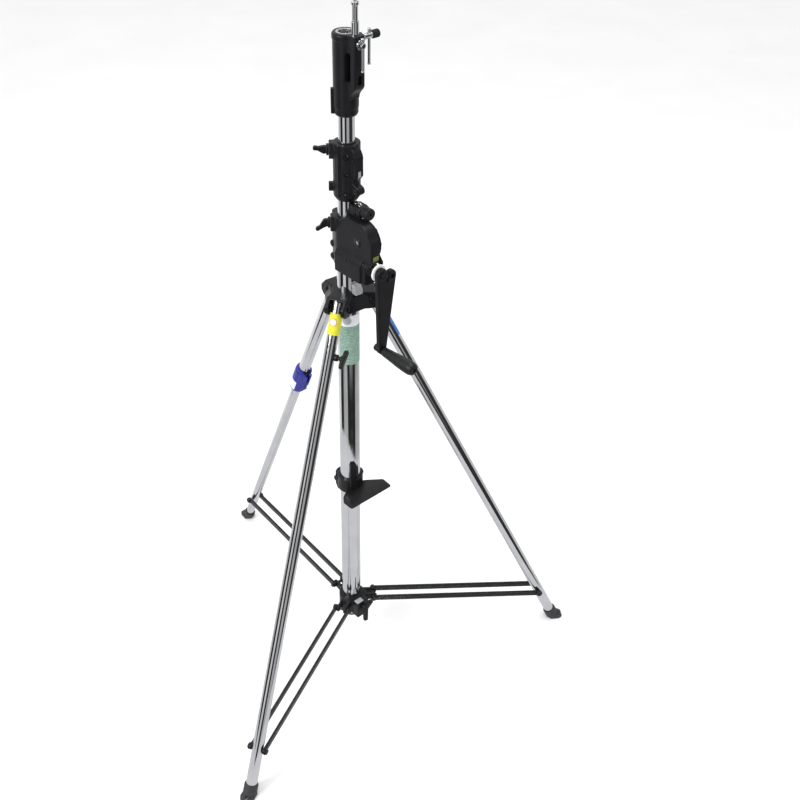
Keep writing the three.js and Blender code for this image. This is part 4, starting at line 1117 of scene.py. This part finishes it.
def clamp():
    """Clamp on riser 1: flat-fronted barrel, cable hump with its pulley, two lugs and three sunk screws."""
    low, high = box("clamp_1_body")
    bottom, top = low.z, high.z
    riser, _, riser_top = upright("riser_1_tube")
    lever_z = joint_place("clamp_lever_turn").z
    hump = [(10, 1400), (31, 1400), (HUMP_END, 1414), (HUMP_END, 1450)]
    hump += arc(HUMP_END - 26, 1450, 26, 0, 90, 20) + [(10, 1476)]
    lever_side = DRIVE.inverted() @ about_z(LEVER_AZIMUTH)
    face = about_z(CLAMP_FACE_AZIMUTH)
    body = join(
        lathe([(0, bottom), (23, bottom), (29, bottom + 9), (29, top), (0, top)], 2.0, 96),
        placed(block(0, 27, -19, 19, bottom + 12, top, rim=1.5), face),
        slab(hump, "XZ", -10.6, 10.6, rim=2.2),
        slab(link(24, 1384, 13, 39, 1382, 9.5), "XZ", -9, 9, rim=2),
        placed(rod_x(10.5, 20, 38.5, z=1379, rim=1.8), lever_side),
        lever_boss(lever_z),
    )
    body = soften(body, 0.9, 4)
    screws = (1455, 1419, 1373)
    slot = 9.3
    cut(
        body,
        rod_z(riser + GAP, bottom - 5, riser_top + GAP, segments=96, rim=0),
        rod_z(20.3, riser_top - 5, top + 5, segments=96, rim=0),
        slab(link(PULLEY.x, PULLEY.z, slot, PULLEY.x, 1425, slot), "XZ", -5.5, 5.5, rim=0),
        block(HUMP_END - 4, HUMP_END + 8, -4.5, 4.5, 1411, 1426, rim=0),
        rod_y(4.3, -20, 20, x=PULLEY.x, z=PULLEY.z),
        lever_hole(lever_z),
        ring(31, 28.4, 1410, 1411.6, rim=0.3),
        *[placed(rod_x(6.8, 25.4, 40, z=z, rim=0), face) for z in screws],
    )
    piece("riser_clamp", body, "riser_1", "cast_black", ["clamp_1_body"], DRIVE)
    for number, z in enumerate(screws):
        screw = cap_screw(6, 3, (22.4, 0, z), (26.8, 0, z))
        piece(f"clamp_set_screw_{number}", screw, "riser_1", "painted_steel", place=DRIVE @ face)
    ear = cap_screw(5.5, 4, (39, -2, 1382), (39, -12, 1382))
    piece("clamp_ear_screw", ear, "riser_1", "painted_steel", place=DRIVE)
    guide = block(36.5, 41, -4, 4, 1412, 1425.5, rim=0.5)
    piece("clamp_cable_guide", guide, "riser_1", None, place=DRIVE, material=GREY_STEEL_AND_HIGHLIGHT)
    standing_ring("clamp_bush", "clamp_1_bush", "riser_1", "black_plastic", "riser_2_tube")
    standing_ring("riser_1_guide", "riser_1_bush", "riser_1", "black_plastic", "riser_1_tube")
    rim_r, floor_r, bore = 8.3, 6.8, 4.4
    groove = [(bore, -4.5), (rim_r, -4.5), (rim_r, -3.2), (floor_r, -1.2), (floor_r, 1.2), (rim_r, 3.2),
              (rim_r, 4.5), (bore, 4.5)]
    wheel = placed(lathe(groove, 0.4), Matrix.Rotation(math.pi / 2, 4, "X"))
    at = DRIVE @ Matrix.Translation((PULLEY.x, 0, PULLEY.z))
    piece("cable_pulley", wheel, "pulley", "black_plastic", ["clamp_1_pulley"], at)
    pin = join(rod_y(4, -12, 12), rod_y(6, 10.8, 12.6, rim=0.6), rod_y(6, -12.6, -10.8, rim=0.6))
    piece("cable_pulley_pin", pin, "riser_1", "painted_steel", ["clamp_1_pulley_pin"], at)


# ---- head ------------------------------------------------------------------------------------
HEAD_R = 26
HEAD_RIB_AZIMUTH = -128          # in the drive frame
SOCKET_R = 14.3
SOCKET_FLANGE_R = 19.5
SOCKET_SCREW_START = 40
SPIGOT_X = 29
SPIGOT_R = 8
SPIGOT_ARM_END = 43
SPIGOT_ARM_HALF = 13.5


def curve(points, steps=14):
    """A cubic Bezier curve through its first and last control points."""
    a, b, c, d = (Vector(point) for point in points)
    shares = [k / steps for k in range(steps + 1)]
    return [tuple(a * (1 - t) ** 3 + b * (3 * t * (1 - t) ** 2) + c * (3 * t ** 2 * (1 - t)) + d * t ** 3)
            for t in shares]


def head():
    """Socket barrel with the spigot arm beside it, a slot each side of the arm and a rib at the back."""
    low, high = box("head_casting")
    bottom, top = low.z, high.z
    spigot_z = joint_place("spigot_screw_turn").z
    socket_z = joint_place("socket_screw_turn").z
    arm = [(0, 1560), (26, 1576)]
    arm += curve([(26, 1576), (29, 1596), (SPIGOT_ARM_END, 1592), (SPIGOT_ARM_END, 1612)])[1:]
    arm += [(SPIGOT_ARM_END, top), (0, top)]
    barrel = lathe([(0, bottom), (22, bottom), (25, bottom + 5), (25, bottom + 16), (HEAD_R, bottom + 17.5),
                    (HEAD_R, 1689), (27.5, 1691), (27.5, top - 4), (24.5, top), (0, top)], 0.9, 96)
    plan = eased([(0, -SPIGOT_ARM_HALF), (SPIGOT_ARM_END, -SPIGOT_ARM_HALF), (SPIGOT_ARM_END, SPIGOT_ARM_HALF),
                  (0, SPIGOT_ARM_HALF)], 3)
    arm_solid = slab(arm, "XZ", -SPIGOT_ARM_HALF, SPIGOT_ARM_HALF, rim=0)
    combine(arm_solid, [slab(plan, "XY", 1500, top, rim=1.0)], "INTERSECT")
    body = join(
        barrel,
        arm_solid,
        placed(block(10, 31, -5, 5, bottom + 2, 1592, rim=1.5), about_z(HEAD_RIB_AZIMUTH)),
        rod_y(10.5, 10, SOCKET_SCREW_START, z=socket_z, rim=1.2),
    )
    body = soften(body, 0.85, 4)
    window = link(24.5, 1618, 6, 24.5, 1664, 6)
    riser, _, riser_top = upright("riser_2_tube")
    cut(
        body,
        rod_z(riser + GAP, bottom - 5, riser_top + GAP, segments=96, rim=0),
        rod_z(SOCKET_R + 2.5, 1598, top + 5, segments=96, rim=0),
        rod_z(SOCKET_FLANGE_R + GAP, top - 3.3, top + 5, segments=96, rim=0),
        rod_z(SPIGOT_R + GAP, 1672, top + 5, x=SPIGOT_X, rim=0),
        slab(window, "XZ", -40, -4, rim=0),
        slab(window, "XZ", 4, 40, rim=0),
        rod_x(4.4, SPIGOT_X + 5, 60, z=spigot_z),
        rod_y(4.4, 10, 60, z=socket_z),
        slab(link(0, 1613, 5, 0, 1622, 5), "YZ", 36, 60, rim=0),
    )
    piece("head_socket_casting", body, "riser_2", "cast_black", ["head_casting"], DRIVE)
    wall = SOCKET_R + 2.2
    sleeve = lathe([(SOCKET_R, 1599), (wall, 1599), (wall, top - 3), (SOCKET_FLANGE_R, top - 3),
                    (SOCKET_FLANGE_R, top - GAP), (SOCKET_R, top - GAP)], 0.4, 96)
    piece("head_socket_sleeve", sleeve, "riser_2", "bare_steel", ["socket_sleeve"])
    standing_ring("riser_2_guide", "riser_2_bush", "riser_2", "black_plastic", "riser_2_tube")
    spigot()
    seat = SPIGOT_ARM_END + GAP
    place = DRIVE @ Matrix.Translation((0, 0, spigot_z))
    t_screw("spigot", SPIGOT_X + SPIGOT_R + GAP, seat, 5.5, seat + 12, place)
    sliding_bar("spigot", seat + 7.5, 14, 52, place)
    seat = SOCKET_SCREW_START + GAP
    place = DRIVE @ about_z(90) @ Matrix.Translation((0, 0, socket_z))
    t_screw("socket", SOCKET_R + 3.2, seat, 6, seat + 29, place)
    sliding_bar("socket", seat + 20.5, 14, 58, place)
    knob = rod_x(8.5, seat + 28, seat + 44, rim=1.5)
    for k in range(12):
        angle = math.pi * k / 6
        cut(knob, rod_x(1.3, seat + 30, seat + 42, y=8.9 * math.cos(angle), z=8.9 * math.sin(angle), segments=12))
    piece("socket_clamp_knob", knob, "socket_clamp", "black_plastic", place=place)


def t_screw(name, tip, seat, neck, end, place):
    """Clamp screw along X: a round flange at the seat, then a neck with a bar sliding through it."""
    bar_x = {"spigot": seat + 7.5, "socket": seat + 20.5}[name]
    screw = cut(
        join(rod_x(4, tip, seat + 2), rod_x(10, seat, seat + 3.5, rim=1), rod_x(neck, seat, end, rim=1)),
        rod_z(3.5, -20, 20, x=bar_x),
    )
    piece(f"{name}_clamp_screw", screw, f"{name}_clamp", "chrome", [f"{name}_screw"], place)


def sliding_bar(name, x, up, down, place):
    bar = join(rod_z(3.2, -down, up, rim=1.2), rod_z(4, up - 3, up, rim=1.2), rod_z(4, -down, -down + 3, rim=1.2))
    slide = place @ Matrix.Translation((x, 0, 0))
    piece(f"{name}_clamp_bar", bar, f"{name}_bar", "chrome", [f"{name}_screw_bar"], slide)


def spigot():
    low, high = box("spigot")
    bottom, top = low.z, high.z
    profile = [(0, bottom), (8, bottom), (8, top - 38), (6, top - 35), (6, top - 8), (8, top - 6), (8, top - 1),
               (7, top), (0, top)]
    body = placed(lathe(profile, 0.6), Matrix.Translation((SPIGOT_X, 0, 0)))
    cut(body, rod_z(3.2, top - 9, top + 4, x=SPIGOT_X, rim=0))
    piece("spigot_16mm", body, "spigot_body", "chrome", ["spigot"], DRIVE)


# ---- the stand -------------------------------------------------------------------------------
def risers():
    standing_tube("riser_1_plated", "riser_1_tube", "riser_1")
    standing_tube("riser_2_plated", "riser_2_tube", "riser_2")


def inner_parts():
    """CAD nodes that stay in view as they are, with their finishes."""
    finishes = {"worm_wheel": "bronze", "cable_drum": "bare_steel", "drum_shaft": "bare_steel",
                "worm_shaft": "bare_steel"}
    for name, slot in finishes.items():
        node = frame["nodes"][name]
        node.data.materials.clear()
        node.data.materials.append(FINISHES[slot])


column()
bracket()
legs()
hub()
struts()
gearbox()
gearbox_cover()
gearbox_small_parts()
crank()
risers()
clamp()
wing_lever("winch_lock_lever", "gearbox_lever", "gear_lever", "gearbox_lever_turn", 27, -15)
wing_lever("riser_lock_lever", "clamp_1_lever", "clamp_lever", "clamp_lever_turn", 28, 3)
head()
inner_parts()


# ---- studio ----------------------------------------------------------------------------------
CAMERA_PLACE = Vector((-0.1456, -2.1059, 2.3900))
CAMERA_FORWARD = Vector((0.10143, 0.79553, -0.59737))
CAMERA_ROLL = math.radians(1.33)
CAMERA_LENS = 49.05


def camera():
    data = bpy.data.cameras.new("camera")
    data.lens = CAMERA_LENS
    data.sensor_width = 36
    data.clip_start = 0.05
    view = bpy.data.objects.new("camera", data)
    turn = CAMERA_FORWARD.to_track_quat("-Z", "Y").to_matrix().to_4x4()
    view.matrix_world = Matrix.Translation(CAMERA_PLACE + AXIS * MM) @ turn @ Matrix.Rotation(CAMERA_ROLL, 4, "Z")
    SCENE.collection.objects.link(view)
    SCENE.camera = view


def floor():
    shape = bmesh.new()
    bmesh.ops.create_grid(shape, x_segments=8, y_segments=8, size=14)
    mesh = bpy.data.meshes.new("studio_floor")
    shape.to_mesh(mesh)
    shape.free()
    plane = bpy.data.objects.new("studio_floor", mesh)
    plane.location.z = -0.001
    plane.visible_glossy = False
    look = Finish("studio_floor_paint")
    look.colour(look.ramp(look.noise(400, 3), (0.3, (0.90, 0.90, 0.90)), (0.7, (0.93, 0.93, 0.93))))
    look.rough(look.spread(look.noise(60, 3), 0.3, 0.7, 0.75, 0.9))
    mesh.materials.append(look.done())
    SCENE.collection.objects.link(plane)


def mirror_disc():
    """The lit floor near the stand, seen only in the polished tubes, which mirror a dark room higher up."""
    shape = bmesh.new()
    bmesh.ops.create_circle(shape, cap_ends=True, segments=96, radius=0.88)
    mesh = bpy.data.meshes.new("studio_mirror_disc")
    shape.to_mesh(mesh)
    shape.free()
    disc = bpy.data.objects.new("studio_mirror_disc", mesh)
    disc.location = (AXIS.x * MM - 0.1, AXIS.y * MM, -0.0005)
    disc.visible_camera = False
    disc.visible_diffuse = False
    disc.visible_shadow = False
    glow = bpy.data.materials.new("studio_mirror_glow")
    glow.use_nodes = True
    light = glow.node_tree.nodes.new("ShaderNodeEmission")
    light.inputs["Color"].default_value = (0.68, 0.68, 0.70, 1)
    glow.node_tree.links.new(light.outputs[0], glow.node_tree.nodes["Material Output"].inputs["Surface"])
    mesh.materials.append(glow)
    SCENE.collection.objects.link(disc)


def lamp(name, place, aim, size, power):
    data = bpy.data.lights.new(name, "AREA")
    data.shape = "RECTANGLE"
    data.size, data.size_y = size
    data.energy = power
    light = bpy.data.objects.new(name, data)
    direction = Vector(aim) - Vector(place)
    light.matrix_world = Matrix.Translation(Vector(place) + AXIS * MM) @ direction.to_track_quat("-Z", "Y").to_matrix().to_4x4()
    SCENE.collection.objects.link(light)
    return light


# What polished tubes mirror, high and low on the stand: brightness from each azimuth on, in degrees
# counted from the camera.
MIRROR_HIGH = [(-180, 0.95), (-112, 0.45), (-83, 0.012), (-51, 0.66), (-23, 0.02), (3, 0.42), (36, 0.035), (88, 0.6)]
MIRROR_LOW = [(-180, 0.8), (-102, 0.02), (-64, 0.42), (-18, 0.02), (66, 0.42), (125, 0.7)]
BAND_EDGE = 3.0


def mirror_ramp(tree, share, bands):
    """A colour ramp over the full circle with a short step at each band's edge."""
    ramp = tree.nodes.new("ShaderNodeValToRGB")
    tree.links.new(share, ramp.inputs["Fac"])
    stops = []
    for index, (start, level) in enumerate(bands):
        end = bands[index + 1][0] if index + 1 < len(bands) else 180
        stops += [(start + BAND_EDGE / 2, level), (end - BAND_EDGE / 2, level)]
    while len(ramp.color_ramp.elements) < len(stops):
        ramp.color_ramp.elements.new(0.5)
    for element, (angle, level) in zip(ramp.color_ramp.elements, stops):
        element.position = (angle + 180) / 360
        element.color = (level, level, level, 1)
    return ramp.outputs["Color"]


def studio_world():
    """Plain pale light, except that mirrored rays see the bands."""
    world = bpy.data.worlds.new("studio")
    SCENE.world = world
    world.use_nodes = True
    tree = world.node_tree
    nodes, links = tree.nodes, tree.links
    direction = nodes.new("ShaderNodeSeparateXYZ")
    links.new(nodes.new("ShaderNodeTexCoord").outputs["Generated"], direction.inputs[0])
    azimuth = nodes.new("ShaderNodeMath")
    azimuth.operation = "ARCTAN2"
    links.new(direction.outputs["Y"], azimuth.inputs[0])
    links.new(direction.outputs["X"], azimuth.inputs[1])
    camera_azimuth = math.atan2(CAMERA_PLACE.y, CAMERA_PLACE.x)
    share = nodes.new("ShaderNodeMapRange")
    share.clamp = False
    share.inputs["From Min"].default_value = camera_azimuth - math.pi
    share.inputs["From Max"].default_value = camera_azimuth + math.pi
    links.new(azimuth.outputs[0], share.inputs["Value"])
    whole = nodes.new("ShaderNodeMath")
    whole.operation = "WRAP"
    whole.inputs[1].default_value = 1.0
    whole.inputs[2].default_value = 0.0
    links.new(share.outputs[0], whole.inputs[0])
    height = nodes.new("ShaderNodeMapRange")
    height.inputs["From Min"].default_value = -0.56
    height.inputs["From Max"].default_value = -0.46
    links.new(direction.outputs["Z"], height.inputs["Value"])
    both = nodes.new("ShaderNodeMix")
    both.data_type = "RGBA"
    links.new(height.outputs[0], both.inputs["Factor"])
    links.new(mirror_ramp(tree, whole.outputs[0], MIRROR_LOW), both.inputs["A"])
    links.new(mirror_ramp(tree, whole.outputs[0], MIRROR_HIGH), both.inputs["B"])
    mirrored = nodes.new("ShaderNodeBackground")
    links.new(both.outputs["Result"], mirrored.inputs["Color"])
    plain = nodes.new("ShaderNodeBackground")
    plain.inputs["Color"].default_value = (1, 1, 1, 1)
    plain.inputs["Strength"].default_value = 0.98
    path = nodes.new("ShaderNodeLightPath")
    choice = nodes.new("ShaderNodeMixShader")
    links.new(path.outputs["Is Glossy Ray"], choice.inputs[0])
    links.new(plain.outputs[0], choice.inputs[1])
    links.new(mirrored.outputs[0], choice.inputs[2])
    links.new(choice.outputs[0], nodes["World Output"].inputs["Surface"])


camera()
floor()
mirror_disc()
studio_world()
lamp("key", (-3.0, -1.6, 3.0), (0, 0, 0.8), (1.4, 1.4), 85)
lamp("fill", (2.8, -1.6, 2.2), (0, 0, 0.8), (1.5, 1.5), 8)
lamp("top", (0.2, 0.6, 4.2), (0, 0, 0.6), (2.4, 2.4), 45)
SCENE.view_settings.view_transform = "Standard"
